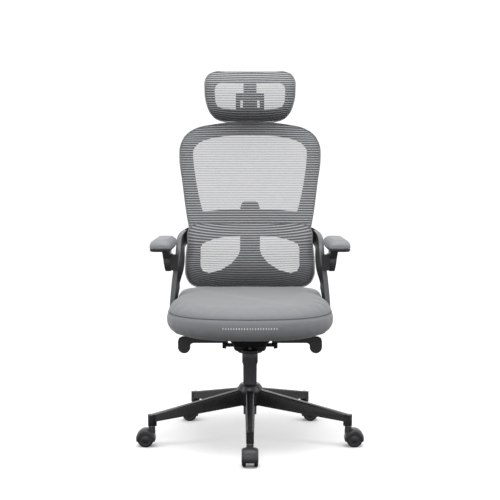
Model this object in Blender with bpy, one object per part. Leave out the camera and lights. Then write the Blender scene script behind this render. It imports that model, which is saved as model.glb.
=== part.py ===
"""High-backed mesh office and gaming chair on a five-star base, built in its own frame.

+Z is up, the sitter faces -Y with their left hand towards +X, and the origin is on the floor
under the gas column.
Every piece is one closed solid; pieces that move share a parent empty on their joint's axis.
"""

import math

import bmesh
import bpy
from mathutils import Matrix, Vector

# ---------------------------------------------------------------- driving sizes, in metres
FIT = 0.0004                    # air between two pieces that touch

LEG_COUNT = 5
STEM_CIRCLE = 0.316             # radius from the column to each caster stem
CASTER_TURNS = (-90, 0, 0, 180, 180)    # where each caster trails to, in degrees from +X
LEG_END = 0.3268
HUB_RADIUS = 0.0395
HUB_TOP, HUB_BOTTOM = 0.1755, 0.108
SOCKET_BOTTOM = 0.0634

WHEEL_RADIUS, WHEEL_SIDES = 0.025, 20
AXLE_HEIGHT = WHEEL_RADIUS * math.cos(math.pi / WHEEL_SIDES)
CASTER_TRAIL = 0.018
CASTER_HALF_WIDTH, WHEEL_INNER = 0.0235, 0.0115
HOOD_RADIUS, HOOD_TOP = 0.0292, 0.0608

COLUMN_BOTTOM, COLUMN_TOP = 0.078, 0.2715
COLUMN_RADIUS, COLUMN_NECK_RADIUS, COLUMN_NECK = 0.0248, 0.0216, 0.238
PISTON_RADIUS = 0.014

FLANGE_BOTTOM, FLANGE_RADIUS = 0.2745, 0.0388
PIVOT = Vector((0.0, -0.055, 0.3055))          # tilt shaft
LEVER_Y, LEVER_ROOT = -0.088, 0.0665
KNOB_Y = -0.108
PLATE_BOTTOM, PLATE_TOP = 0.3365, 0.3400

PAN_BOTTOM, PAN_TOP = 0.3404, 0.3510
SEAT_BOTTOM, SEAT_MIDDLE, SEAT_TOP = 0.3425, 0.3920, 0.4610

ARM_AXIS_Y, ARM_AXIS_Z = 0.030, 0.557
BRACKET_BOTTOM, BRACKET_TOP = 0.531, 0.5805     # low enough to clear the pad's base as the arm flips
PAD_FRONT, PAD_REAR = -0.165, 0.080
PAD_INNER, PAD_OUTER = 0.2366, 0.2990
PAD_BASE_BOTTOM, PAD_BASE_TOP, PAD_TOP = 0.6000, 0.6080, 0.6360

BACK_THICKNESS, MESH_THICKNESS = 0.022, 0.0025
LUMBAR_THICKNESS = 0.016
LUMBAR_HINGE = Vector((0.0, 0.198, 0.572))
HEAD_THICKNESS = 0.014
HEAD_HINGE = Vector((0.0, 0.3000, 1.066))
POST_FOOT = Vector((0.0, 0.3573, 0.9930))      # middle of the guide behind the back's top bar
BACK_SLOPE = 0.26               # how far the back leans for each metre of height


# ---------------------------------------------------------------- shared helpers
def clear_scene():
    for obj in list(bpy.data.objects):
        bpy.data.objects.remove(obj)


def finish(name, colour, roughness, metallic=0.0):
    made = bpy.data.materials.new(name)
    made.use_nodes = True
    shader = made.node_tree.nodes["Principled BSDF"]
    shader.inputs["Base Color"].default_value = (*colour, 1.0)
    shader.inputs["Roughness"].default_value = roughness
    shader.inputs["Metallic"].default_value = metallic
    return made


def axis_empty(name, location, parent=None, turn=0.0):
    """An empty on a joint's axis, which carries the pieces that move on that joint."""
    empty = bpy.data.objects.new(name, None)
    bpy.context.scene.collection.objects.link(empty)
    empty.matrix_world = Matrix.Translation(location) @ Matrix.Rotation(turn, 4, "Z")
    if parent is not None:
        empty.parent = parent
        empty.matrix_parent_inverse = parent.matrix_world.inverted()
        bpy.context.view_layer.update()
    return empty


def solid(name, bm, material=None, carrier=None):
    """One named object from a bmesh that is drawn in the chair's frame."""
    bmesh.ops.remove_doubles(bm, verts=bm.verts, dist=1e-6)
    bmesh.ops.recalc_face_normals(bm, faces=bm.faces)
    if bm.calc_volume(signed=True) < 0:
        bmesh.ops.reverse_faces(bm, faces=bm.faces)
    mesh = bpy.data.meshes.new(name)
    bm.to_mesh(mesh)
    bm.free()
    obj = bpy.data.objects.new(name, mesh)
    bpy.context.scene.collection.objects.link(obj)
    dress(obj, material, carrier)
    return obj


def dress(obj, material, carrier):
    if material is not None:
        obj.data.materials.clear()
        obj.data.materials.append(material)
    if carrier is not None:
        obj.parent = carrier
        obj.matrix_parent_inverse = carrier.matrix_world.inverted()
    obj.data.shade_smooth()
    obj.data.set_sharp_from_angle(angle=math.radians(35))


def combined(obj, operation, tool):
    """obj after a Boolean with tool, which is then removed."""
    step = obj.modifiers.new(operation, "BOOLEAN")
    step.operation, step.solver, step.object = operation, "EXACT", tool
    bpy.context.view_layer.update()
    mesh = bpy.data.meshes.new_from_object(
        obj.evaluated_get(bpy.context.evaluated_depsgraph_get()))
    obj.modifiers.clear()
    obj.data = mesh
    bpy.data.objects.remove(tool)
    mesh.shade_smooth()
    mesh.set_sharp_from_angle(angle=math.radians(35))
    return obj


def skin(bm, rings, closed_path=False):
    """Faces between rings of equally many points, with the first and last ring capped."""
    loops = [[bm.verts.new(point) for point in ring] for ring in rings]
    pairs = list(zip(loops, loops[1:]))
    if closed_path:
        pairs.append((loops[-1], loops[0]))
    for low, high in pairs:
        for i in range(len(low)):
            j = (i + 1) % len(low)
            bm.faces.new((low[i], low[j], high[j], high[i]))
    if not closed_path:
        bm.faces.new(reversed(loops[0]))
        bm.faces.new(loops[-1])
    return bm


def lofted(rings, closed_path=False):
    return skin(bmesh.new(), rings, closed_path)


def turned(profile, sides, centre=(0.0, 0.0), phase=0.0, close=False):
    """A round solid about a vertical axis, from (radius, height) pairs that run from bottom to top.

    With close the last pair joins the first, which leaves a hole along the axis."""
    rings = []
    for radius, height in profile:
        ring = []
        for i in range(sides):
            angle = math.tau * (i + phase) / sides
            ring.append(Vector((centre[0] + radius * math.cos(angle),
                                centre[1] + radius * math.sin(angle), height)))
        rings.append(ring)
    return lofted(rings, close)


def block(low, high, bevel=0.0):
    """A box between two corners, with its edges cut off where bevel is given."""
    bm = bmesh.new()
    bmesh.ops.create_cube(bm, size=1.0)
    low, high = Vector(low), Vector(high)
    for vert in bm.verts:
        vert.co = Vector(low[k] + (vert.co[k] + 0.5) * (high[k] - low[k]) for k in range(3))
    if bevel:
        bmesh.ops.bevel(bm, geom=bm.edges[:], offset=bevel, affect="EDGES", segments=1,
                        profile=0.5, material=-1)
    return bm


def prism(outline, low, high, place):
    """An outline of (a, b) pairs drawn out from low to high; place(a, b, depth) gives the point."""
    return lofted([[place(a, b, depth) for a, b in outline] for depth in (low, high)])


def along_y(a, b, depth):
    return Vector((a, depth, b))


def along_z(a, b, depth):
    return Vector((a, b, depth))


def along_x(a, b, depth):
    return Vector((depth, a, b))


def rounded_box(x0, x1, y0, y1, radius, corner_steps=3):
    """Outline of a rectangle with round corners, anticlockwise."""
    outline = []
    for cx, cy, start in ((x1 - radius, y1 - radius, 0), (x0 + radius, y1 - radius, 1),
                          (x0 + radius, y0 + radius, 2), (x1 - radius, y0 + radius, 3)):
        for i in range(corner_steps + 1):
            angle = math.pi / 2 * (start + i / corner_steps)
            outline.append((cx + radius * math.cos(angle), cy + radius * math.sin(angle)))
    return outline


def smooth_path(points, steps):
    """A Catmull-Rom curve through points, with steps pieces between each two."""
    points = [Vector(p) for p in points]
    padded = [2 * points[0] - points[1], *points, 2 * points[-1] - points[-2]]
    curve = []
    for a, b, c, d in zip(padded, padded[1:], padded[2:], padded[3:]):
        for i in range(steps):
            t = i / steps
            curve.append(0.5 * (2 * b + (c - a) * t + (2 * a - 5 * b + 4 * c - d) * t * t
                                + (3 * b - a - 3 * c + d) * t ** 3))
    curve.append(points[-1])
    return curve


def mirrored_outline(half, steps=2):
    """A closed outline from its right half, whose first and last points are on the middle line."""
    right = [(p.x, p.y) for p in smooth_path([(*p, 0.0) for p in half], steps)]
    return right + [(-a, b) for a, b in reversed(right[1:-1])]


def triangulated(bm):
    bmesh.ops.triangulate(bm, faces=bm.faces)
    return bm


def transformed(bm, matrix):
    bmesh.ops.transform(bm, matrix=matrix, verts=bm.verts)
    return bm


def curved_plate(name, outline, windows, surface, thickness, grid, material, carrier):
    """A plate that follows y = surface(x, z), cut to an outline in x and z and pierced by windows.

    grid is (half width, low, high, columns, rows); plates that lie on each other share it."""
    reach = 0.25
    half_width, z0, z1, columns, rows = grid
    x0, x1 = -half_width, half_width
    rings = []
    for j in range(rows + 1):
        z = z0 + (z1 - z0) * j / rows
        line = [x0 + (x1 - x0) * i / columns for i in range(columns + 1)]
        front = [Vector((x, surface(x, z), z)) for x in line]
        back = [Vector((x, surface(x, z) + thickness, z)) for x in reversed(line)]
        rings.append(front + back)
    bm = lofted(rings)
    bmesh.ops.triangulate(bm, faces=bm.faces)
    plate = solid(name, bm, material, carrier)
    middle = surface(0.0, (z0 + z1) / 2)
    form = solid("form", prism(outline, middle - reach, middle + reach, along_y))
    combined(plate, "INTERSECT", form)
    for window in windows:
        hole = solid("hole", prism(window, middle - reach, middle + reach, along_y))
        combined(plate, "DIFFERENCE", hole)
    dress(plate, material, None)
    return plate


# ---------------------------------------------------------------- base and casters
def leg_top(radius):
    return 0.1570 + (0.0960 - 0.1570) * (radius - 0.04) / (LEG_END - 0.04)


def leg_bottom(radius):
    return 0.1080 + (0.0745 - 0.1080) * (radius - 0.04) / (LEG_END - 0.04)


def leg_section(radius):
    """The leg is a channel that opens downwards; its points run round the channel."""
    share = (radius - 0.04) / (LEG_END - 0.04)
    wide, narrow, wall, chamfer = 0.0155 - 0.0045 * share, 0.0125 - 0.0035 * share, 0.003, 0.0025
    top, bottom = leg_top(radius), leg_bottom(radius)
    half = [(narrow - chamfer, top), (narrow, top - chamfer), (wide, bottom),
            (wide - wall, bottom), (narrow - wall, top - 0.0045)]
    points = half + [(-a, b) for a, b in reversed(half)]
    return [Vector((radius, a, b)) for a, b in points]


def base_star(material, carrier):
    hub = solid("base_star", turned(
        [(0.0335, HUB_BOTTOM), (0.0365, HUB_BOTTOM + 0.003), (HUB_RADIUS, 0.150),
         (HUB_RADIUS, 0.163), (0.0300, HUB_TOP)], 30), material, carrier)
    for i in range(LEG_COUNT):
        turn = Matrix.Rotation(-math.pi / 2 + math.tau * i / LEG_COUNT, 4, "Z")
        leg = lofted([leg_section(0.026), leg_section(LEG_END - 0.004)])
        combined(hub, "UNION", solid("leg", transformed(leg, turn)))
        cup_outline = rounded_box(0.3015, LEG_END, -0.0113, 0.0113, 0.0060, 2)
        cup = prism(cup_outline, SOCKET_BOTTOM, leg_top(0.318), along_z)
        combined(hub, "UNION", solid("cup", transformed(cup, turn)))
        for rib_radius in (0.11, 0.19):
            rib = block((rib_radius, -0.0100, leg_bottom(rib_radius) + 0.004),
                        (rib_radius + 0.0025, 0.0100, leg_top(rib_radius) - 0.003))
            combined(hub, "UNION", solid("rib", transformed(rib, turn)))
        bore = turned([(0.0060, SOCKET_BOTTOM - 0.01), (0.0060, 0.0925)], 12, (STEM_CIRCLE, 0.0))
        combined(hub, "DIFFERENCE", solid("bore", transformed(bore, turn)))
    taper = turned([(column_radius(HUB_BOTTOM - 0.02) + FIT, HUB_BOTTOM - 0.02),
                    (column_radius(HUB_TOP + 0.01) + FIT, HUB_TOP + 0.01)], 32)
    combined(hub, "DIFFERENCE", solid("taper", taper))
    dress(hub, material, None)
    return hub


def caster_stem():
    """Steel grip stem: it turns in the leg's socket and is pressed into the hood."""
    return turned([(0.0054, 0.0420), (0.0054, 0.0612), (0.0085, 0.0612), (0.0085, 0.0629),
                   (0.0054, 0.0629), (0.0054, 0.0890), (0.0040, 0.0915)], 12)


def caster_hood():
    """Centre web with two axle stubs, and a cover that reaches over both wheels."""
    centre = (CASTER_TRAIL, AXLE_HEIGHT + 0.001)
    start, end, steps = math.radians(-18), math.radians(198), 10
    angles = [start + (end - start) * i / steps for i in range(steps + 1)]
    inner = 0.0264
    cover = [(centre[0] + HOOD_RADIUS * math.cos(a), centre[1] + HOOD_RADIUS * math.sin(a))
             for a in angles]
    cover += [(centre[0] + inner * math.cos(a), centre[1] + inner * math.sin(a))
              for a in reversed(angles)]
    hood = solid("hood", prism(cover, -CASTER_HALF_WIDTH, CASTER_HALF_WIDTH, along_y))
    web = [(centre[0] + 0.0285 * math.cos(a), centre[1] + 0.0285 * math.sin(a)) for a in angles]
    web += [(centre[0] - 0.012, 0.0135), (centre[0] + 0.012, 0.0135)]
    combined(hood, "UNION", solid("web", prism(web, -0.0092, 0.0092, along_y)))
    boss = turned([(0.0105, 0.040), (0.0105, HOOD_TOP)], 12)
    combined(hood, "UNION", solid("boss", boss))
    stub = transformed(turned([(0.0036, -0.0205), (0.0036, 0.0205)], 8),
                       Matrix.Translation((CASTER_TRAIL, 0, AXLE_HEIGHT))
                       @ Matrix.Rotation(math.pi / 2, 4, "X"))
    combined(hood, "UNION", solid("stub", stub))
    bore = turned([(0.0054 + FIT, 0.0410), (0.0054 + FIT, 0.080)], 12)
    combined(hood, "DIFFERENCE", solid("bore", bore))
    bm = bmesh.new()
    bm.from_mesh(hood.data)
    triangulated(bm).to_mesh(hood.data)
    bm.free()
    return hood


def caster_wheel(side):
    """One nylon wheel, with a blind bore on its inner face for the hood's stub."""
    inner, outer = WHEEL_INNER, CASTER_HALF_WIDTH
    profile = [(0.0042, 0.0212), (0.0042, inner), (0.0225, inner), (WHEEL_RADIUS, inner + 0.0025),
               (WHEEL_RADIUS, outer - 0.0035), (0.0215, outer)]
    wheel = turned(profile, WHEEL_SIDES, phase=0.0)
    stand = (Matrix.Translation((CASTER_TRAIL, 0, AXLE_HEIGHT))
             @ Matrix.Rotation(-side * math.pi / 2, 4, "X")
             @ Matrix.Rotation(math.pi / WHEEL_SIDES, 4, "Z"))
    return transformed(wheel, stand)


def casters(plastic, steel, nylon, carrier):
    hood = caster_hood()
    hood_mesh = hood.data
    bpy.data.objects.remove(hood)
    for i in range(LEG_COUNT):
        turn = -math.pi / 2 + math.tau * i / LEG_COUNT
        place = Vector((STEM_CIRCLE * math.cos(turn), STEM_CIRCLE * math.sin(turn), 0.0))
        turn = math.radians(CASTER_TURNS[i])
        axis = axis_empty(f"caster_{i + 1}_axis", place, carrier, turn)
        stem = solid(f"caster_{i + 1}_stem", transformed(caster_stem(), axis.matrix_world))
        dress(stem, steel, axis)
        cover = bpy.data.objects.new(f"caster_{i + 1}_hood", hood_mesh)
        bpy.context.scene.collection.objects.link(cover)
        cover.parent = axis
        dress(cover, plastic, None)
        for word, side in (("left", 1), ("right", -1)):
            centre = axis.matrix_world @ Vector((CASTER_TRAIL, 0, AXLE_HEIGHT))
            axle = axis_empty(f"caster_{i + 1}_{word}_axle", centre, axis, turn)
            wheel = transformed(caster_wheel(side), axis.matrix_world)
            solid(f"caster_{i + 1}_wheel_{word}", wheel, nylon, axle)


# ---------------------------------------------------------------- gas column
def column_radius(height):
    """The tube is full width at its head, necks down, and tapers slightly into the hub."""
    if height >= COLUMN_NECK + 0.005:
        return COLUMN_RADIUS
    if height >= COLUMN_NECK - 0.005:
        return COLUMN_NECK_RADIUS + (COLUMN_RADIUS - COLUMN_NECK_RADIUS) * (
            height - COLUMN_NECK + 0.005) / 0.010
    return COLUMN_NECK_RADIUS - 0.0012 * max(0.0, HUB_TOP - height) / (HUB_TOP - COLUMN_BOTTOM)


def column(painted, plastic, chrome, steel, base, lift):
    heights = [COLUMN_BOTTOM, HUB_TOP, COLUMN_NECK - 0.005, COLUMN_NECK + 0.005, COLUMN_TOP]
    outer = [(column_radius(z), z) for z in heights]
    bore = 0.0182
    profile = [(0.0085, COLUMN_BOTTOM), *outer, (bore, COLUMN_TOP), (bore, COLUMN_BOTTOM + 0.003),
               (0.0085, COLUMN_BOTTOM + 0.003)]
    solid("column_tube", turned(profile, 32, close=True), painted, base)
    sleeve = PISTON_RADIUS + 0.0003
    solid("column_bush", turned(
        [(sleeve, 0.200), (bore - FIT, 0.200), (bore - FIT, COLUMN_TOP + FIT),
         (0.0232, COLUMN_TOP + FIT), (0.0225, 0.2740), (sleeve, 0.2740)], 28, close=True),
        plastic, base)
    solid("gas_cylinder", turned(
        [(0.0120, 0.0860), (PISTON_RADIUS, 0.0880), (PISTON_RADIUS, 0.2760),
         (0.0132, 0.3030), (0.0048, 0.3030), (0.0048, 0.2930)], 24), chrome, lift)
    solid("valve_button", turned([(0.0040, 0.2955), (0.0040, 0.3060), (0.0030, 0.3070)], 12),
          steel, axis_empty("valve_axis", (0, 0, 0.30), lift))


# ---------------------------------------------------------------- tilt mechanism and levers
def housing_ring(half, front, rear, height, inset=0.0, fall=0.187, radius=0.018):
    """One outline of the pan. It narrows in front and rises there; behind it falls away by fall."""
    ring = []
    for x, y in rounded_box(-half + inset, half - inset, front + inset, rear - inset, radius, 3):
        ahead, behind = max(0.0, -y - 0.045) / 0.093, max(0.0, y + 0.010)
        ring.append(Vector((x * (1 - 0.16 * ahead), y, height + 0.0155 * ahead - fall * behind)))
    return ring


def mechanism(painted, cast, spring_steel, plastic, body):
    wall = 0.0026
    hole = [Vector((0.0215 * math.cos(a), 0.0215 * math.sin(a), 0))
            for a in (math.pi / 24 + math.tau * (i + 0.5) / 16 for i in range(16))]
    rings = [[p + Vector((0, 0, 0.2815)) for p in hole],
             housing_ring(0.0385, -0.0420, 0.0420, 0.2815, fall=0.0),
             housing_ring(0.0460, -0.0560, 0.0470, 0.2850, fall=0.0),
             housing_ring(0.0510, -0.0700, 0.0500, 0.2935, fall=0.0),
             housing_ring(0.0530, -0.1290, 0.0530, 0.2960, fall=0.0),
             housing_ring(0.0640, -0.1350, 0.0550, 0.3135),
             housing_ring(0.0705, -0.1380, 0.0570, 0.3180),
             housing_ring(0.0705, -0.1380, 0.0570, 0.3180, wall),
             housing_ring(0.0640, -0.1350, 0.0550, 0.3135, wall),
             housing_ring(0.0515, -0.1275, 0.0515, 0.2986, fall=0.0),
             housing_ring(0.0490, -0.0690, 0.0490, 0.2961, fall=0.0),
             housing_ring(0.0440, -0.0550, 0.0460, 0.2877, fall=0.0),
             housing_ring(0.0370, -0.0400, 0.0400, 0.2842, fall=0.0),
             [p + Vector((0, 0, 0.2842)) for p in hole]]
    pan = solid("mechanism_housing", triangulated(lofted(rings, True)), painted, body)
    shaft_bore = transformed(turned([(0.0064, -0.09), (0.0064, 0.09)], 16),
                             Matrix.Translation(PIVOT) @ Matrix.Rotation(math.pi / 2, 4, "Y"))
    combined(pan, "DIFFERENCE", solid("shaft_bore", shaft_bore))
    bolt_bore = turned([(0.0060, 0.30), (0.0060, 0.32)], 12, (0.0, KNOB_Y))
    combined(pan, "DIFFERENCE", solid("bolt_bore", bolt_bore))
    dress(pan, painted, None)
    bore = PISTON_RADIUS + FIT
    solid("taper_socket", turned(
        [(bore, FLANGE_BOTTOM), (FLANGE_RADIUS - 0.001, FLANGE_BOTTOM), (FLANGE_RADIUS, 0.2760),
         (FLANGE_RADIUS, 0.2811), (0.0205, 0.2811), (0.0195, 0.3000), (bore, 0.3000)], 32,
        close=True), cast, body)
    coil_turns, coil_steps, coil_sides, coil_radius, wire = 2.5, 12, 5, 0.0125, 0.0021
    rings = []
    for i in range(int(coil_turns * coil_steps) + 1):
        angle = math.tau * i / coil_steps
        centre = Vector((coil_radius * math.cos(angle), KNOB_Y + coil_radius * math.sin(angle),
                         0.3145 + 0.0170 * i / (coil_turns * coil_steps)))
        out = Vector((math.cos(angle), math.sin(angle), 0))
        rings.append([centre + wire * (out * math.cos(a) + Vector((0, 0, math.sin(a))))
                      for a in (math.tau * k / coil_sides for k in range(coil_sides))])
    solid("tension_spring", lofted(rings), spring_steel, body)
    knob_axis = axis_empty("tension_knob_axis", (0, KNOB_Y, 0.29), body)
    sides = 24
    knob = turned([(0.0215, 0.2880), (0.0250, 0.2895), (0.0258, 0.2980), (0.0045, 0.2990),
                   (0.0045, 0.3310)], sides, (0.0, KNOB_Y))
    for vert in knob.verts:
        out = Vector((vert.co.x, vert.co.y - KNOB_Y, 0))
        grip = round(math.atan2(out.y, out.x) / math.tau * sides) % 2
        if grip and out.length > 0.02:
            vert.co -= out.normalized() * 0.0022
    solid("tension_knob", knob, plastic, knob_axis)


def tilt_plate(painted, steel, body, seat):
    """Pressed plate that carries the seat; its two ears hang on the tilt shaft."""
    outline = rounded_box(-0.0765, 0.0765, -0.135, 0.135, 0.012, 3)
    plate = solid("tilt_plate", prism(outline, PLATE_BOTTOM, PLATE_TOP, along_z))
    for side in (-1, 1):
        ear = [(PIVOT.y - 0.030, PLATE_TOP - 0.001), (PIVOT.y - 0.012, PIVOT.z - 0.006),
               (PIVOT.y - 0.006, PIVOT.z - 0.0115), (PIVOT.y + 0.006, PIVOT.z - 0.0115),
               (PIVOT.y + 0.012, PIVOT.z - 0.006), (PIVOT.y + 0.045, PLATE_TOP - 0.001)]
        near, far = sorted((side * 0.0733, side * 0.0765))
        combined(plate, "UNION", solid("ear", prism(ear, near, far, along_x)))
    shaft_bore = transformed(turned([(0.0064, -0.09), (0.0064, 0.09)], 16),
                             Matrix.Translation(PIVOT) @ Matrix.Rotation(math.pi / 2, 4, "Y"))
    combined(plate, "DIFFERENCE", solid("shaft_bore", shaft_bore))
    opening = prism(rounded_box(-0.030, 0.030, -0.030, 0.036, 0.010, 2), 0.33, 0.35, along_z)
    combined(plate, "DIFFERENCE", solid("opening", opening))
    dress(plate, painted, seat)
    head, root = 0.0112, 0.0769
    profile = [(head - 0.0015, -0.0850), (head, -0.0835), (head, -root), (0.0060, -root),
               (0.0060, root), (head, root), (head, 0.0835), (head - 0.0015, 0.0850)]
    shaft = transformed(turned(profile, 20),
                        Matrix.Translation(PIVOT) @ Matrix.Rotation(math.pi / 2, 4, "Y"))
    solid("tilt_shaft", shaft, steel, body)


def lever(name, side, plastic, body):
    """Flat arm that leaves the housing and ends in a paddle that hangs down for the fingers."""
    axis = axis_empty(f"{name}_axis", (side * LEVER_ROOT, LEVER_Y, 0.325), body)
    low, high, tip, centre, drop = 0.3170, 0.3330, 0.2200, 0.2010, 0.3040
    paddle = 0.0190
    outline = [(LEVER_ROOT, low), (0.1720, low)]
    outline += [(0.1720 + 0.011 * math.sin(a), low - 0.011 * (1 - math.cos(a)))
                for a in (math.radians(d) for d in (30, 60, 90))]
    outline += [(centre + paddle * math.cos(a), drop + paddle * math.sin(a))
                for a in (math.radians(d) for d in range(180, 361, 20))]
    outline += [(tip, 0.3220), (tip - 0.003, 0.3320), (tip - 0.013, 0.3370), (0.1900, 0.3365),
                (0.1760, high), (LEVER_ROOT, high)]
    bm = prism(outline, LEVER_Y - 0.0055, LEVER_Y + 0.0055, lambda a, b, y: Vector((side * a, y, b)))
    solid(name, bm, plastic, axis)


# ---------------------------------------------------------------- seat
SEAT_HALF = [(0.0, -0.272), (0.100, -0.263), (0.180, -0.228), (0.232, -0.165), (0.2540, -0.085),
             (0.2450, -0.020), (0.2325, 0.030), (0.2300, 0.070), (0.2290, 0.120), (0.2230, 0.165),
             (0.1990, 0.205), (0.150, 0.222), (0.080, 0.226), (0.0, 0.227)]


def seat_ring(height, inset, curl=0.0):
    """The seat's plan outline drawn in by inset, at one height; curl lifts its side edges."""
    middle_y = -0.03
    ring = []
    for x, y in mirrored_outline(SEAT_HALF):
        out = Vector((x, y - middle_y, 0))
        out *= 1 - inset / out.length
        fall = 0.55 * max(0.0, height - 0.400) * min(1.0, max(0.0, (0.10 - out.y) / 0.34)) ** 1.3
        z = height + curl * (abs(out.x) / 0.25) ** 3 - fall
        ring.append(Vector((out.x, out.y + middle_y, z)))
    return ring


def pan_outline(grow=0.0):
    return rounded_box(-0.168 - grow, 0.168 + grow, -0.172 - grow, 0.172 + grow, 0.050, 4)


def seat(fabric, plastic, carrier):
    pan = solid("seat_pan", prism(pan_outline(), PAN_BOTTOM, PAN_TOP, along_z), plastic, carrier)
    rings = [seat_ring(SEAT_BOTTOM, 0.046, 0.008), seat_ring(0.3455, 0.026, 0.008),
             seat_ring(0.3570, 0.009, 0.005), seat_ring(0.3740, 0.001, 0.002),
             seat_ring(SEAT_MIDDLE, 0.0), seat_ring(0.4180, 0.004), seat_ring(0.4400, 0.011),
             seat_ring(0.4530, 0.020), seat_ring(0.4590, 0.038), seat_ring(SEAT_TOP, 0.070)]
    cushion = solid("seat_cushion", lofted(rings), fabric, carrier)
    pocket = prism(pan_outline(FIT), SEAT_BOTTOM - 0.01, PAN_TOP + FIT, along_z)
    combined(cushion, "DIFFERENCE", solid("pocket", pocket))
    dress(cushion, fabric, None)
    return pan


# ---------------------------------------------------------------- arm rails and flip-up arms
# Rail stations for the +X side: middle of the front edge, middle of the rear edge, outward.
RAIL_STATIONS = [
    ((0.1300, 0.0220, 0.3310), (0.1300, 0.0700, 0.3310), (0, 0, -1)),
    ((0.2000, 0.0220, 0.3310), (0.2000, 0.0700, 0.3310), (0, 0, -1)),
    ((0.2300, 0.0220, 0.3370), (0.2300, 0.0700, 0.3370), (0.6, 0, -0.8)),
    ((0.2440, 0.0220, 0.3600), (0.2430, 0.0700, 0.3600), (1, 0, -0.15)),
    ((0.2455, 0.0220, 0.4100), (0.2420, 0.0700, 0.4050), (1, 0, 0.05)),
    ((0.2420, 0.0220, 0.4600), (0.2355, 0.0715, 0.4500), (1, 0, 0.08)),
    ((0.2370, 0.0220, 0.5100), (0.2280, 0.0735, 0.4900), (1, 0, 0.10)),
    ((0.2310, 0.0225, 0.5500), (0.2200, 0.0850, 0.5200), (1, 0.10, 0.10)),
    ((0.2272, 0.0310, 0.5820), (0.2160, 0.1070, 0.5480), (1, 0.12, 0.08)),
    ((0.2262, 0.0520, 0.6080), (0.2155, 0.1320, 0.5720), (1, 0.13, 0.06)),
    ((0.2258, 0.0850, 0.6280), (0.2150, 0.1580, 0.5920), (1, 0.13, 0.05)),
    ((0.2230, 0.1300, 0.6390), (0.2115, 0.1830, 0.6020), (1, 0.22, 0.05)),
    ((0.2180, 0.1720, 0.6450), (0.2100, 0.1990, 0.6080), (1, 0.35, 0.0)),
    ((0.2120, 0.2070, 0.6490), (0.2095, 0.2080, 0.6120), (0.95, 0.5, -0.10)),
    ((0.2080, 0.2280, 0.6520), (0.2070, 0.2200, 0.6160), (0.6, 1, -0.26)),
    ((0.1970, 0.2335, 0.6530), (0.1970, 0.2241, 0.6170), (0.22, 1, -0.26)),
    ((0.1700, 0.2372, 0.6530), (0.1700, 0.2278, 0.6180), (0.165, 1, -0.26)),
]
RAIL_HALF_THICKNESS = 0.0082


def rail_section(front, rear, outward):
    """A blade with a bevelled front; it thins towards its rear edge, which leans inwards."""
    across = (rear - front).normalized()
    out = (outward - across * outward.dot(across)).normalized()
    half, cut, depth = RAIL_HALF_THICKNESS, 0.0030, (rear - front).length
    thin = half if depth < 0.055 else 0.0050
    points = [(half - cut, 0.0), (half, cut), (thin, depth - cut), (thin - cut, depth),
              (cut - thin, depth), (-thin, depth - cut), (-half, cut), (cut - half, 0.0)]
    return [front + out * a + across * b for a, b in points]


def rail(side, plastic, carrier):
    rings = [rail_section(*(Vector(part) for part in station)) for station in RAIL_STATIONS]
    for ring in rings:
        for point in ring:
            point.x *= side
    word = "left" if side > 0 else "right"
    return solid(f"arm_rail_{word}", lofted(rings), plastic, carrier)


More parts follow.
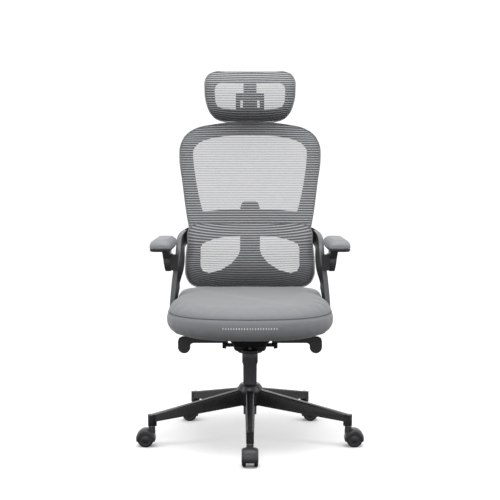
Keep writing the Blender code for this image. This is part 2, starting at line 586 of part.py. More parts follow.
def flip_arm(side, plastic, pad_foam, steel, carrier):
    word = "left" if side > 0 else "right"

    def here(a, b, depth):
        return Vector((side * depth, a, b))

    def plan(a, b, depth):
        return Vector((side * a, b, depth))

    shoe = [(0.2245, -0.0055), (0.2485, -0.0055), (0.2485, 0.0640), (0.2442, 0.0640),
            (0.2442, 0.0212), (0.2245, 0.0212)]
    knuckle = solid(f"arm_bracket_{word}", prism(shoe, BRACKET_BOTTOM, BRACKET_TOP, plan))
    pin_bore = turned([(0.0070, 0.22), (0.0070, 0.26)], 16)
    across = (Matrix.Translation((0, ARM_AXIS_Y, ARM_AXIS_Z))
              @ Matrix.Rotation(side * math.pi / 2, 4, "Y"))
    combined(knuckle, "DIFFERENCE", solid("pin_bore", transformed(pin_bore, across)))
    dress(knuckle, plastic, carrier)
    axis = axis_empty(f"arm_{word}_axis", (side * 0.26, ARM_AXIS_Y, ARM_AXIS_Z), carrier)
    pin = turned([(0.0066, 0.2445), (0.0066, 0.2680), (0.0058, 0.2690)], 16)
    solid(f"arm_pin_{word}", transformed(pin, across), steel, carrier)
    boss = [(ARM_AXIS_Y + 0.031 * math.cos(a), ARM_AXIS_Z + 0.031 * math.sin(a))
            for a in (math.radians(d) for d in range(160, 381, 20))]
    shape = [*boss, (ARM_AXIS_Y + 0.0335, PAD_BASE_BOTTOM - FIT),
             (ARM_AXIS_Y - 0.0600, PAD_BASE_BOTTOM - FIT)]
    bm = prism(shape, 0.2489, 0.2735, here)
    for vert in bm.verts:
        if abs(vert.co.x) > 0.26:
            vert.co.x -= side * 0.0080 * min(1.0, max(0.0, (0.585 - vert.co.z) / 0.058))
    post = solid(f"arm_post_{word}", bm)
    post_bore = turned([(0.0066 + FIT, 0.24), (0.0066 + FIT, 0.2695)], 16)
    combined(post, "DIFFERENCE", solid("post_bore", transformed(post_bore, across)))
    dress(post, plastic, axis)
    corner = 0.020
    rim = rounded_box(PAD_INNER, PAD_OUTER, PAD_FRONT, PAD_REAR, corner, 4)
    inset = rounded_box(PAD_INNER + 0.003, PAD_OUTER - 0.003, PAD_FRONT + 0.003,
                        PAD_REAR - 0.003, corner - 0.002, 4)
    base = lofted([[plan(a, b, z) for a, b in ring] for ring, z in
                   ((inset, PAD_BASE_BOTTOM), (rim, PAD_BASE_BOTTOM + 0.003), (rim, PAD_BASE_TOP))])
    solid(f"arm_pad_base_{word}", base, plastic, axis)
    low = PAD_BASE_TOP + FIT
    top = rounded_box(PAD_INNER + 0.014, PAD_OUTER - 0.014, PAD_FRONT + 0.020, PAD_REAR - 0.016,
                      corner - 0.006, 4)
    shoulder = rounded_box(PAD_INNER + 0.004, PAD_OUTER - 0.004, PAD_FRONT + 0.005,
                           PAD_REAR - 0.004, corner, 4)
    pad = lofted([[plan(a, b, z) for a, b in ring] for ring, z in
                  ((rim, low), (rim, low + 0.012), (shoulder, low + 0.020), (top, PAD_TOP))])
    solid(f"arm_pad_{word}", pad, pad_foam, axis)


# ---------------------------------------------------------------- back, lumbar and headrest
def back_line(z):
    """Front of the back at its middle: straight, then rolling away at the top."""
    return 0.205 + BACK_SLOPE * (z - 0.6) + 1.6 * max(0.0, z - 0.9) ** 2


def back_surface(x, z):
    return back_line(z) - 0.026 * (x / 0.235) ** 2


BACK_HALF = [(0.0, 1.0070), (0.120, 1.0000), (0.2010, 0.9755), (0.2300, 0.9370), (0.2355, 0.8900),
             (0.2240, 0.8000), (0.2100, 0.7000), (0.2020, 0.6650), (0.1965, 0.6250),
             (0.1860, 0.6080), (0.1660, 0.6200), (0.1400, 0.6440), (0.0, 0.6450)]
BACK_WINDOW_HALF = [(0.0, 0.9640), (0.090, 0.9590), (0.1550, 0.9450), (0.1850, 0.9220),
                    (0.1910, 0.8900), (0.1790, 0.8000), (0.1610, 0.7200), (0.1500, 0.7080),
                    (0.100, 0.7120), (0.0, 0.7150)]
MESH_HALF = [(0.0, 1.0050), (0.120, 0.9980), (0.1995, 0.9735), (0.2280, 0.9360), (0.2335, 0.8900),
             (0.2220, 0.8000), (0.2080, 0.7000), (0.2010, 0.6650), (0.0, 0.6600)]


def lumbar_surface(x, z):
    """Bows forwards at mid height, and its ends wrap forwards round the sitter."""
    return 0.158 + 2.2 * (z - 0.575) ** 2 - 0.022 * (x / 0.208) ** 2 + 0.10 * (z - 0.575)


LUMBAR_HALF = [(0.0, 0.6700), (0.120, 0.6700), (0.1800, 0.6680), (0.1960, 0.6560),
               (0.2030, 0.6000), (0.2085, 0.5350), (0.2050, 0.4950), (0.1850, 0.4690),
               (0.1400, 0.4625), (0.0, 0.4620)]
LUMBAR_WINDOW = [(0.0310, 0.6290), (0.0750, 0.6280), (0.1200, 0.6190), (0.1540, 0.6060),
                 (0.1610, 0.5920), (0.1615, 0.5320), (0.1540, 0.5150), (0.1330, 0.5080),
                 (0.0950, 0.5180), (0.0600, 0.5400), (0.0370, 0.5680), (0.0300, 0.5950)]


def head_surface(x, z):
    """Rolls back at its top and bottom edges, and its ends wrap slightly forwards."""
    roll = abs(z - 1.088) / 0.082
    return 0.238 + 0.036 * roll ** 2.6 - 0.018 * (x / 0.148) ** 2


HEAD_HALF = [(0.0, 1.1705), (0.080, 1.1700), (0.1190, 1.1685), (0.1430, 1.1500), (0.1480, 1.1080),
             (0.1420, 1.0620), (0.1250, 1.0260), (0.0980, 1.0090), (0.0, 1.0065)]
HEAD_WINDOW = [(0.0214, 1.1330), (0.0980, 1.1330), (0.1130, 1.1240), (0.1170, 1.1080),
               (0.1140, 1.0680), (0.1060, 1.0530), (0.0900, 1.0480), (0.0470, 1.0450),
               (0.0470, 1.0960), (0.0214, 1.0980)]
HEAD_SLIT = [(0.0235, 1.0760), (0.0315, 1.0760), (0.0322, 1.0490), (0.0242, 1.0490)]

# Half width, lowest and highest point, and cells across and up, of the grid that bends each plate.
BACK_GRID = (0.245, 0.600, 1.016, 10, 9)
LUMBAR_GRID = (0.216, 0.456, 0.678, 12, 6)
HEAD_GRID = (0.156, 0.999, 1.178, 8, 10)


def both_sides(window):
    return [window, [(-a, b) for a, b in reversed(window)]]


def in_front_of(surface, gap):
    """The same bent surface, the given distance nearer to the sitter."""
    return lambda x, z: surface(x, z) - gap


def bolt_frame(side, bm):
    """Stands a bolt, which is drawn along +Z from under its head, on the outside of the rail's end."""
    out = Vector((0.165, 1.0, -0.26)).normalized()
    seat_point = Vector((0.1830, 0.2312, 0.6350)) + out * (RAIL_HALF_THICKNESS + FIT)
    out.x, seat_point.x = side * out.x, side * seat_point.x
    turn = Vector((0, 0, 1)).rotation_difference(out).to_matrix().to_4x4()
    return transformed(bm, Matrix.Translation(seat_point) @ turn)


def back(fabric, plastic, steel, carrier):
    frame = curved_plate("back_frame", mirrored_outline(BACK_HALF),
                         [mirrored_outline(BACK_WINDOW_HALF)], back_surface, BACK_THICKNESS,
                         BACK_GRID, plastic, carrier)
    curved_plate("back_mesh", mirrored_outline(MESH_HALF), [],
                 in_front_of(back_surface, MESH_THICKNESS + FIT), MESH_THICKNESS, BACK_GRID, fabric, carrier)
    lean = Matrix.Translation(POST_FOOT) @ Matrix.Rotation(-math.atan(BACK_SLOPE), 4, "X")
    shell = transformed(block((-0.030, -0.0265, -0.025), (0.030, 0.0125, 0.025), 0.003), lean)
    combined(frame, "UNION", solid("guide", shell))
    slot = transformed(block((-0.0162, -0.0062, -0.06), (0.0162, 0.0062, 0.06)), lean)
    combined(frame, "DIFFERENCE", solid("slot", slot))
    dress(frame, plastic, None)
    for side, word in ((1, "left"), (-1, "right")):
        rail_end = bpy.data.objects[f"arm_rail_{word}"]
        for piece in (frame, rail_end):
            bore = bolt_frame(side, turned([(0.0034, -0.0210), (0.0034, 0.01)], 12))
            combined(piece, "DIFFERENCE", solid("bore", bore))
        screw = turned([(0.0030, -0.0200), (0.0030, 0.0), (0.0078, 0.0), (0.0068, 0.0042)], 14)
        solid(f"back_bolt_{word}", bolt_frame(side, screw), steel, carrier)
    return frame


def lumbar(fabric, plastic, steel, slide, pad):
    """Slide plate behind the cross bar, an arm that passes under the bar, and the hinged pad."""
    offset = BACK_THICKNESS + 0.0015

    def behind(a, b, depth):
        return Vector((a, back_line(b) + depth, b))

    outline = [(-0.0330, 0.5560), (0.0330, 0.5560), (0.0330, 0.7150), (0.0290, 0.7320),
               (0.0205, 0.7400), (-0.0205, 0.7400), (-0.0290, 0.7320), (-0.0330, 0.7150)]
    plate = solid("lumbar_slide", prism(outline, offset, offset + 0.009, behind))
    arm = block((-0.0180, LUMBAR_HINGE.y - 0.006, 0.5610), (0.0180, 0.2300, 0.5830), 0.003)
    combined(plate, "UNION", solid("arm", arm))
    pin_bore = transformed(turned([(0.0034, -0.03), (0.0034, 0.03)], 12),
                           Matrix.Translation(LUMBAR_HINGE) @ Matrix.Rotation(math.pi / 2, 4, "Y"))
    combined(plate, "DIFFERENCE", solid("pin_bore", pin_bore))
    dress(plate, plastic, slide)
    frame = curved_plate("lumbar_frame", mirrored_outline(LUMBAR_HALF), both_sides(LUMBAR_WINDOW),
                         lumbar_surface, LUMBAR_THICKNESS, LUMBAR_GRID, plastic, pad)
    for side in (-1, 1):
        near, far = sorted((side * 0.0185, side * 0.0255))
        lug = [(0.1680, 0.5600), (0.2000, 0.5640), (0.2050, 0.5720), (0.2000, 0.5800),
               (0.1680, 0.5840)]
        combined(frame, "UNION", solid("lug", prism(lug, near, far, along_x)))
    lug_bore = transformed(turned([(0.0034, -0.03), (0.0034, 0.03)], 12),
                           Matrix.Translation(LUMBAR_HINGE) @ Matrix.Rotation(math.pi / 2, 4, "Y"))
    combined(frame, "DIFFERENCE", solid("lug_bore", lug_bore))
    dress(frame, plastic, None)
    pin = transformed(turned([(0.0030, -0.0250), (0.0030, 0.0250)], 12),
                      Matrix.Translation(LUMBAR_HINGE) @ Matrix.Rotation(math.pi / 2, 4, "Y"))
    solid("lumbar_pin", pin, steel, slide)
    curved_plate("lumbar_mesh", mirrored_outline(LUMBAR_HALF), [],
                 in_front_of(lumbar_surface, MESH_THICKNESS + FIT), MESH_THICKNESS,
                 LUMBAR_GRID, fabric, pad)


def headrest(fabric, plastic, steel, slide, head):
    """Curved post in the back's guide, a hinge at its top, and the pad's frame and mesh."""
    lean = Vector((0, BACK_SLOPE, 1)).normalized()
    path = [POST_FOOT - lean * 0.0245, POST_FOOT - lean * 0.010, POST_FOOT + lean * 0.010,
            POST_FOOT + lean * 0.028,
            Vector((0, 0.3600, 1.036)), Vector((0, 0.3480, 1.055)), Vector((0, 0.3230, 1.0645)),
            Vector((0, 0.3080, 1.0660))]
    rings = []
    for i, centre in enumerate(path):
        along = (path[min(i + 1, len(path) - 1)] - path[max(i - 1, 0)]).normalized()
        rear = along.cross(Vector((1, 0, 0))).normalized()
        half_width, half_depth = 0.0158, 0.0058
        rings.append([centre + Vector((1, 0, 0)) * a + rear * b for a, b in
                      rounded_box(-half_width, half_width, -half_depth, half_depth, 0.003, 1)])
    post = solid("headrest_post", lofted(rings))
    barrel = transformed(turned([(0.0100, -0.0158), (0.0100, 0.0158)], 18),
                         Matrix.Translation(HEAD_HINGE) @ Matrix.Rotation(math.pi / 2, 4, "Y"))
    combined(post, "UNION", solid("barrel", barrel))
    bore = transformed(turned([(0.0044, -0.03), (0.0044, 0.03)], 12),
                       Matrix.Translation(HEAD_HINGE) @ Matrix.Rotation(math.pi / 2, 4, "Y"))
    combined(post, "DIFFERENCE", solid("bore", bore))
    dress(post, plastic, slide)
    pin = transformed(turned([(0.0040, -0.0214), (0.0040, 0.0214)], 12),
                      Matrix.Translation(HEAD_HINGE) @ Matrix.Rotation(math.pi / 2, 4, "Y"))
    solid("headrest_pin", pin, steel, slide)
    rear = head_surface(0.0, 1.07) + HEAD_THICKNESS
    foot = [(head_surface(0.0, z) + HEAD_THICKNESS + 3 * FIT, z)
            for z in (1.0460, 1.0560, 1.0660, 1.0760, 1.0970)]
    foot += [(rear + 0.0110, 1.0950), (rear + 0.0135, 1.0800), (rear + 0.0135, 1.0480)]
    bracket = solid("headrest_bracket", prism(foot, -0.0465, 0.0465, along_x))
    for side in (-1, 1):
        near, far = sorted((side * 0.0162, side * 0.0215))
        ear = [(rear + 0.010, 1.0520), (HEAD_HINGE.y + 0.004, 1.0565),
               (HEAD_HINGE.y + 0.0095, 1.0660), (HEAD_HINGE.y + 0.004, 1.0755),
               (rear + 0.010, 1.0840)]
        combined(bracket, "UNION", solid("ear", prism(ear, near, far, along_x)))
        slit_low, slit_high = sorted((side * 0.0225, side * 0.0330))
        slit = block((slit_low, rear - 0.03, 1.0440), (slit_high, rear + 0.03, 1.0775))
        combined(bracket, "DIFFERENCE", solid("slit", slit))
    ear_bore = transformed(turned([(0.0044, -0.04), (0.0044, 0.04)], 12),
                           Matrix.Translation(HEAD_HINGE) @ Matrix.Rotation(math.pi / 2, 4, "Y"))
    combined(bracket, "DIFFERENCE", solid("ear_bore", ear_bore))
    dress(bracket, plastic, head)
    curved_plate("headrest_frame", mirrored_outline(HEAD_HALF),
                 both_sides(HEAD_WINDOW) + both_sides(HEAD_SLIT),
                 head_surface, HEAD_THICKNESS, HEAD_GRID, plastic, head)
    curved_plate("headrest_mesh", mirrored_outline(HEAD_HALF), [],
                 in_front_of(head_surface, MESH_THICKNESS + FIT), MESH_THICKNESS, HEAD_GRID,
                 fabric, head)


# ---------------------------------------------------------------- the chair
def main():
    clear_scene()
    black = finish("black_plastic", (0.018, 0.018, 0.019), 0.5)
    nylon = finish("caster_nylon", (0.030, 0.031, 0.032), 0.55)
    painted = finish("black_paint", (0.012, 0.012, 0.013), 0.35, 0.3)
    steel = finish("zinc_steel", (0.50, 0.50, 0.52), 0.35, 1.0)
    chrome = finish("chrome", (0.75, 0.75, 0.77), 0.12, 1.0)
    mesh_grey = finish("grey_mesh", (0.26, 0.26, 0.27), 0.85)
    seat_grey = finish("grey_fabric", (0.30, 0.30, 0.31), 0.9)
    pad_grey = finish("grey_pad", (0.32, 0.32, 0.33), 0.6)

    base = axis_empty("base", (0, 0, 0))
    lift = axis_empty("lift_axis", (0, 0, COLUMN_TOP), base)
    swivel = axis_empty("swivel_axis", (0, 0, FLANGE_BOTTOM), lift)
    rocker = axis_empty("tilt_axis", PIVOT, swivel)
    lumbar_slide = axis_empty("lumbar_slide_axis", (0, back_line(0.68), 0.68), rocker)
    lumbar_pad = axis_empty("lumbar_hinge_axis", LUMBAR_HINGE, lumbar_slide)
    head_slide = axis_empty("headrest_slide_axis", POST_FOOT, rocker)
    head = axis_empty("headrest_hinge_axis", HEAD_HINGE, head_slide)
    bpy.context.view_layer.update()

    base_star(black, base)
    casters(black, steel, nylon, base)
    column(painted, black, chrome, steel, base, lift)
    mechanism(painted, painted, steel, black, swivel)
    tilt_plate(painted, steel, swivel, rocker)
    lever("lever_height", -1, black, swivel)
    lever("lever_tilt", 1, black, swivel)
    seat(seat_grey, black, rocker)
    for side in (1, -1):
        rail(side, black, rocker)
        flip_arm(side, black, pad_grey, steel, rocker)
    back(mesh_grey, black, steel, rocker)
    lumbar(mesh_grey, black, steel, lumbar_slide, lumbar_pad)
    headrest(mesh_grey, black, steel, head_slide, head)


main()
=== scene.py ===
"""Mesh office chair with a slatted knit back, lumbar pad, headrest and flip-up arms: its visual model."""

import math

import bmesh
import bpy
from mathutils import Matrix, Vector


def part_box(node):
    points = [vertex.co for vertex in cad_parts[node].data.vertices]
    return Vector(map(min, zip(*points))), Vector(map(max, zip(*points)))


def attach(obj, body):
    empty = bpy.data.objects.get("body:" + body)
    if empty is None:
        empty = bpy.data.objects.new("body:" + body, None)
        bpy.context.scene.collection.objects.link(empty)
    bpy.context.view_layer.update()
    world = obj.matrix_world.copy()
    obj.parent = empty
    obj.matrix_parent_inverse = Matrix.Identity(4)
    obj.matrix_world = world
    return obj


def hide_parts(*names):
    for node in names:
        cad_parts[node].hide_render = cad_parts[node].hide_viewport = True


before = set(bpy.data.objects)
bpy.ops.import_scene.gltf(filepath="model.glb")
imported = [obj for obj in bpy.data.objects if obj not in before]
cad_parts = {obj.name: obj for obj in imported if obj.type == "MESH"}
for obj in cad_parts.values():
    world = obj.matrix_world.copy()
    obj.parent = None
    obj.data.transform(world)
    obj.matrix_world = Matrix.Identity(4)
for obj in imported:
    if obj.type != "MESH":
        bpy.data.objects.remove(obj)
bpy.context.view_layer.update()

# ---------------------------------------------------------------- studio and camera

LENS_MM = 77.5
CAMERA_PLACE = (0.0, -3.347, 0.828)
CAMERA_TILT = math.pi / 2 - 0.0695
FLOOR_HALF = 9.0
# Direction heights between which the surround goes from dark to white, and its two strengths.
SURROUND_HEIGHTS = (-0.22, -0.09)
SURROUND_STRENGTHS = (0.08, 1.1)
# Name, place, aimed at, width and height in metres, and watts.
SOFTBOXES = (
    ("overhead_softbox", (0, -0.5, 2.9), (0, 0, 0.5), (2.0, 1.4), 34),
    ("left_softbox", (-2.4, -1.0, 1.3), (0, 0, 0.6), (0.6, 2.2), 12),
    ("right_softbox", (2.4, -1.0, 1.3), (0, 0, 0.6), (0.6, 2.2), 12),
    ("front_softbox", (-0.5, -3.6, 1.9), (0, 0, 0.5), (1.2, 0.8), 16),
)


def set_up_studio():
    """White paper under the chair, a white surround, and soft boxes above, in front and at both sides."""
    camera = bpy.data.objects.new("camera", bpy.data.cameras.new("camera"))
    camera.data.lens = LENS_MM
    camera.location = CAMERA_PLACE
    camera.rotation_euler = (CAMERA_TILT, 0, 0)
    bpy.context.collection.objects.link(camera)
    bpy.context.scene.camera = camera

    surround = bpy.data.worlds.new("studio_surround")
    surround.use_nodes = True
    tree = surround.node_tree
    height = add(tree, "SeparateXYZ", None, {0: add(tree, "TexCoord").outputs["Generated"]})
    # White down to just under the horizon, and dark below it, as over a table with black flags round it.
    brightness = add(
        tree,
        "MapRange",
        None,
        {
            "Value": height.outputs[2],
            1: SURROUND_HEIGHTS[0],
            2: SURROUND_HEIGHTS[1],
            3: SURROUND_STRENGTHS[0],
            4: SURROUND_STRENGTHS[1],
        },
    )
    tree.links.new(brightness.outputs[0], tree.nodes["Background"].inputs["Strength"])
    tree.nodes["Background"].inputs["Color"].default_value = linear("#ffffff")
    bpy.context.scene.world = surround
    bpy.context.scene.view_settings.view_transform = "Standard"

    for name, place, aim, size, watts in SOFTBOXES:
        lamp = bpy.data.lights.new(name, "AREA")
        lamp.shape = "RECTANGLE"
        lamp.size, lamp.size_y = size
        lamp.energy = watts
        softbox = bpy.data.objects.new(name, lamp)
        softbox.location = place
        softbox.rotation_euler = (Vector(aim) - Vector(place)).to_track_quat("-Z", "Y").to_euler()
        bpy.context.collection.objects.link(softbox)

    bm = bmesh.new()
    bmesh.ops.create_grid(bm, x_segments=1, y_segments=1, size=FLOOR_HALF)
    floor = object_from(bm, "studio_floor", [studio_paper()])
    # The paper sends no light back up, so that undersides stay dark.
    floor.visible_diffuse = False
    floor.visible_glossy = False


# ---------------------------------------------------------------- finishes


def linear(hex_colour):
    """An sRGB hex colour as the linear colour that a shader takes."""
    parts = [int(hex_colour[i : i + 2], 16) / 255 for i in (1, 3, 5)]
    return [c / 12.92 if c <= 0.04045 else ((c + 0.055) / 1.055) ** 2.4 for c in parts] + [1.0]


def add(tree, kind, settings=None, inputs=None):
    """Adds a node, sets its properties, and gives each named input a value or a link."""
    node = tree.nodes.new("ShaderNode" + kind)
    for name, value in (settings or {}).items():
        setattr(node, name, value)
    for name, value in (inputs or {}).items():
        if isinstance(value, bpy.types.NodeSocket):
            tree.links.new(value, node.inputs[name])
        else:
            node.inputs[name].default_value = value
    return node


def new_finish(name, **constants):
    """An empty material and its Principled shader, with the given sockets set to constants."""
    material = bpy.data.materials.new(name)
    material.use_nodes = True
    shader = material.node_tree.nodes["Principled BSDF"]
    for socket, value in constants.items():
        shader.inputs[socket.replace("_", " ")].default_value = value
    return material, material.node_tree, shader


def moulded_finish(
    name, dark, light, roughness, grain_mm, grain_depth_mm, mottle_mm=35.0, metallic=0.0
):
    """A finish in two close tones, with fine grain in relief and slow changes of tone and gloss over it."""
    material, tree, shader = new_finish(name, Metallic=metallic)
    place = add(tree, "TexCoord").outputs["Object"]
    mottle = add(
        tree, "TexNoise", None, {"Vector": place, "Scale": 1000 / mottle_mm, "Detail": 3.0, "Roughness": 0.6}
    )
    tone = add(
        tree,
        "Mix",
        {"data_type": "RGBA"},
        {"Factor": mottle.outputs["Fac"], 6: linear(dark), 7: linear(light)},
    )
    gloss = add(
        tree,
        "MapRange",
        None,
        {"Value": mottle.outputs["Fac"], 1: 0.3, 2: 0.7, 3: roughness - 0.05, 4: roughness + 0.05},
    )
    grain = add(tree, "TexNoise", None, {"Vector": place, "Scale": 1000 / grain_mm, "Detail": 2.0})
    relief = add(
        tree,
        "Bump",
        None,
        {"Height": grain.outputs["Fac"], "Strength": 1.0, "Distance": grain_depth_mm / 1000},
    )
    tree.links.new(tone.outputs[2], shader.inputs["Base Color"])
    tree.links.new(gloss.outputs[0], shader.inputs["Roughness"])
    tree.links.new(relief.outputs[0], shader.inputs["Normal"])
    return material


def studio_paper():
    """Seamless white background paper: matt, with the slightest tooth."""
    return moulded_finish("white_background_paper", "#fcfcfc", "#ffffff", 0.9, 2.0, 0.02, mottle_mm=400)


RIB_PITCH = 0.008
# The net's eyes are about 1.2 mm apart in the cloth. They are drawn 2.4 mm apart, to show at all.
NET_PITCH = 0.0024


def knitted_mesh():
    """Polyester spacer knit: dense ribs with sheer net between them, on the piece's own UV in metres.

    The ribs read as pale lines over the dark frame and as thin grey lines over a light ground.
    """
    material, tree, shader = new_finish("slatted_polyester_knit", Roughness=0.78, Sheen_Weight=0.25)
    shader.inputs["Sheen Roughness"].default_value = 0.5
    across = add(tree, "SeparateXYZ", None, {0: add(tree, "UVMap", {"uv_map": "UVMap"}).outputs[0]})
    rib_phase = add(
        tree, "Math", {"operation": "MULTIPLY"}, {0: across.outputs[1], 1: 2 * math.pi / RIB_PITCH}
    )
    rib_wave = add(tree, "Math", {"operation": "SINE"}, {0: rib_phase.outputs[0]})
    rib = add(
        tree,
        "MapRange",
        {"interpolation_type": "SMOOTHSTEP"},
        {"Value": rib_wave.outputs[0], 1: -0.15, 2: 0.65, 3: 0.0, 4: 1.0},
    )
    eye_phase = add(
        tree, "Math", {"operation": "MULTIPLY"}, {0: across.outputs[0], 1: 2 * math.pi / NET_PITCH}
    )
    eye_wave = add(tree, "Math", {"operation": "SINE"}, {0: eye_phase.outputs[0]})
    net = add(
        tree, "MapRange", None, {"Value": eye_wave.outputs[0], 1: -1.0, 2: 1.0, 3: 0.38, 4: 0.54}
    )
    cover = add(tree, "Mix", {"data_type": "FLOAT"}, {0: rib.outputs[0], 2: net.outputs[0], 3: 0.93})
    # Where the knit is stretched hard over a rim it thins, its ribs flatten and the dark frame shows
    # through.
    # The same mask also darkens the yarn's colour towards near-black, as painted shade on the rims and
    # undersides that turn away from the light.
    pull_and_painted_shade = add(tree, "Attribute", {"attribute_name": "pull_and_painted_shade"}).outputs["Fac"]
    thinned = add(tree, "Mix", {"data_type": "FLOAT"}, {0: pull_and_painted_shade, 2: cover.outputs[0], 3: 0.42})
    uneven = add(
        tree,
        "TexNoise",
        None,
        {"Vector": add(tree, "TexCoord").outputs["Object"], "Scale": 55.0, "Detail": 3.0},
    )
    yarn = add(
        tree,
        "Mix",
        {"data_type": "RGBA"},
        {"Factor": rib.outputs[0], 6: linear("#747678"), 7: linear("#a2a4a7")},
    )
    shade = add(
        tree,
        "Mix",
        {"data_type": "RGBA", "blend_type": "MULTIPLY"},
        {"Factor": 0.18, 6: yarn.outputs[2], 7: uneven.outputs["Color"]},
    )
    height = add(
        tree,
        "Math",
        {"operation": "MULTIPLY_ADD"},
        {0: eye_wave.outputs[0], 1: 0.12, 2: rib_wave.outputs[0]},
    )
    relief = add(
        tree, "Bump", None, {"Height": height.outputs[0], "Strength": 0.7, "Distance": 0.0008}
    )
    # Painted shade: where the mask is high, the yarn's colour is mixed towards near-black.
    darker = add(
        tree,
        "Mix",
        {"data_type": "RGBA"},
        {
            "Factor": add(tree, "Math", {"operation": "MULTIPLY"}, {0: pull_and_painted_shade, 1: 0.62}).outputs[0],
            6: shade.outputs[2],
            7: linear("#2a2b2c"),
        },
    )
    tree.links.new(darker.outputs[2], shader.inputs["Base Color"])
    tree.links.new(thinned.outputs[0], shader.inputs["Alpha"])
    tree.links.new(relief.outputs[0], shader.inputs["Normal"])
    return material


# A wave texture at scale 1 repeats every 0.314 m.
WAVE_REPEAT = 0.314
# The cloth's threads are about 0.6 mm apart. They are drawn 2.4 mm apart, so that the weave shows.
THREAD_PITCH = 0.0024
CLOTH_RIB_PITCH = 0.008


def woven_seat_cloth():
    """Two-tone plain weave over foam, with faint upright ribs, on the piece's own UV in metres."""
    material, tree, shader = new_finish("grey_woven_seat_cloth", Roughness=0.85, Sheen_Weight=0.3)
    shader.inputs["Sheen Roughness"].default_value = 0.45
    place = add(tree, "UVMap", {"uv_map": "UVMap"}).outputs[0]
    warp, weft = (
        add(
            tree,
            "TexWave",
            {"bands_direction": direction},
            {"Vector": place, "Scale": WAVE_REPEAT / THREAD_PITCH, "Distortion": 0.3, "Detail": 1.0},
        )
        for direction in "XY"
    )
    weave = add(
        tree, "Math", {"operation": "MULTIPLY"}, {0: warp.outputs["Fac"], 1: weft.outputs["Fac"]}
    )
    ribs = add(
        tree,
        "TexWave",
        {"bands_direction": "X"},
        {"Vector": place, "Scale": WAVE_REPEAT / CLOTH_RIB_PITCH, "Distortion": 0.6, "Detail": 2.0},
    )
    slub = add(
        tree,
        "TexNoise",
        None,
        {
            "Vector": add(tree, "TexCoord").outputs["Object"],
            "Scale": 45.0,
            "Detail": 4.0,
            "Roughness": 0.65,
        },
    )
    thread = add(
        tree,
        "Mix",
        {"data_type": "RGBA"},
        {"Factor": weave.outputs[0], 6: linear("#85878a"), 7: linear("#b4b6b8")},
    )
    ribbed = add(
        tree,
        "Mix",
        {"data_type": "RGBA", "blend_type": "MULTIPLY"},
        {"Factor": 0.22, 6: thread.outputs[2], 7: ribs.outputs["Color"]},
    )
    worn = add(
        tree,
        "Mix",
        {"data_type": "RGBA", "blend_type": "MULTIPLY"},
        {"Factor": 0.14, 6: ribbed.outputs[2], 7: slub.outputs["Color"]},
    )
    height = add(
        tree, "Math", {"operation": "MULTIPLY_ADD"}, {0: ribs.outputs["Fac"], 1: 0.5, 2: weave.outputs[0]}
    )
    relief = add(
        tree, "Bump", None, {"Height": height.outputs[0], "Strength": 0.6, "Distance": 0.0005}
    )
    tree.links.new(worn.outputs[2], shader.inputs["Base Color"])
    tree.links.new(relief.outputs[0], shader.inputs["Normal"])
    return material


def brushed_metal(name, colour, roughness, scratch_mm):
    """A turned or ground metal: fine rings round the axis, in relief and in gloss."""
    material, tree, shader = new_finish(name, Base_Color=linear(colour), Metallic=1.0)
    place = add(tree, "TexCoord").outputs["Object"]
    stretched = add(tree, "Mapping", None, {"Vector": place, "Scale": (0.05, 0.05, 1.0)})
    rings = add(
        tree, "TexNoise", None, {"Vector": stretched.outputs[0], "Scale": 1000 / scratch_mm, "Detail": 3.0}
    )
    gloss = add(
        tree,
        "MapRange",
        None,
        {"Value": rings.outputs["Fac"], 1: 0.3, 2: 0.7, 3: roughness * 0.7, 4: roughness * 1.4},
    )
    relief = add(
        tree, "Bump", None, {"Height": rings.outputs["Fac"], "Strength": 0.3, "Distance": 0.00005}
    )
    tree.links.new(gloss.outputs[0], shader.inputs["Roughness"])
    tree.links.new(relief.outputs[0], shader.inputs["Normal"])
    return material


# ---------------------------------------------------------------- making pieces


def object_from(bm, name, finishes, smooth=True):
    """Turns a bmesh into a linked object with its finishes, and frees the bmesh."""
    mesh = bpy.data.meshes.new(name)
    for face in bm.faces:
        face.smooth = smooth
    bm.to_mesh(mesh)
    bm.free()
    for finish in finishes:
        mesh.materials.append(finish)
    piece = bpy.data.objects.new(name, mesh)
    bpy.context.collection.objects.link(piece)
    return piece


def fit(piece, body, slot, *nodes):
    """The piece rides on a body and stands for the given nodes, which are hidden; the slot is not used."""
    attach(piece, body)
    if nodes:
        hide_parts(*nodes)


def node_copy(node):
    """A bmesh of the node's own shape, with its loose triangles joined."""
    bm = bmesh.new()
    bm.from_mesh(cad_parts[node].data)
    bmesh.ops.remove_doubles(bm, verts=bm.verts, dist=2e-6)
    return bm


def ease_edges(piece, radius, segments, crease):
    """Rounds every edge sharper than the crease angle, in degrees."""
    piece.data.set_sharp_from_angle(angle=math.radians(crease))
    bevel = piece.modifiers.new("eased_edges", "BEVEL")
    bevel.width = radius
    bevel.segments = segments
    bevel.limit_method = "ANGLE"
    bevel.angle_limit = math.radians(crease)
    bevel.harden_normals = True


def eased_part(node, body, slot, finish, radius):
    """The node's own shape with its sharp edges eased, as moulded and machined parts have them."""
    bm = node_copy(node)
    bmesh.ops.dissolve_limit(
        bm, angle_limit=math.radians(1.5), use_dissolve_boundaries=False, verts=bm.verts, edges=bm.edges
    )
    piece = object_from(bm, node + "_part", [finish])
    ease_edges(piece, radius, 2, 38)
    fit(piece, body, slot, node)


def turned_shape(profile, steps=56):
    """A closed turned shape about Z: (radius, height) points spun once round."""
    bm = bmesh.new()
    corners = [bm.verts.new((radius, 0, height)) for radius, height in profile]
    edges = [bm.edges.new(pair) for pair in zip(corners, corners[1:])]
    bmesh.ops.spin(
        bm,
        geom=corners + edges,
        cent=(0, 0, 0),
        axis=(0, 0, 1),
        angle=2 * math.pi,
        steps=steps,
        use_merge=True,
    )
    bmesh.ops.remove_doubles(bm, verts=bm.verts, dist=1e-6)
    bmesh.ops.recalc_face_normals(bm, faces=bm.faces)
    return bm


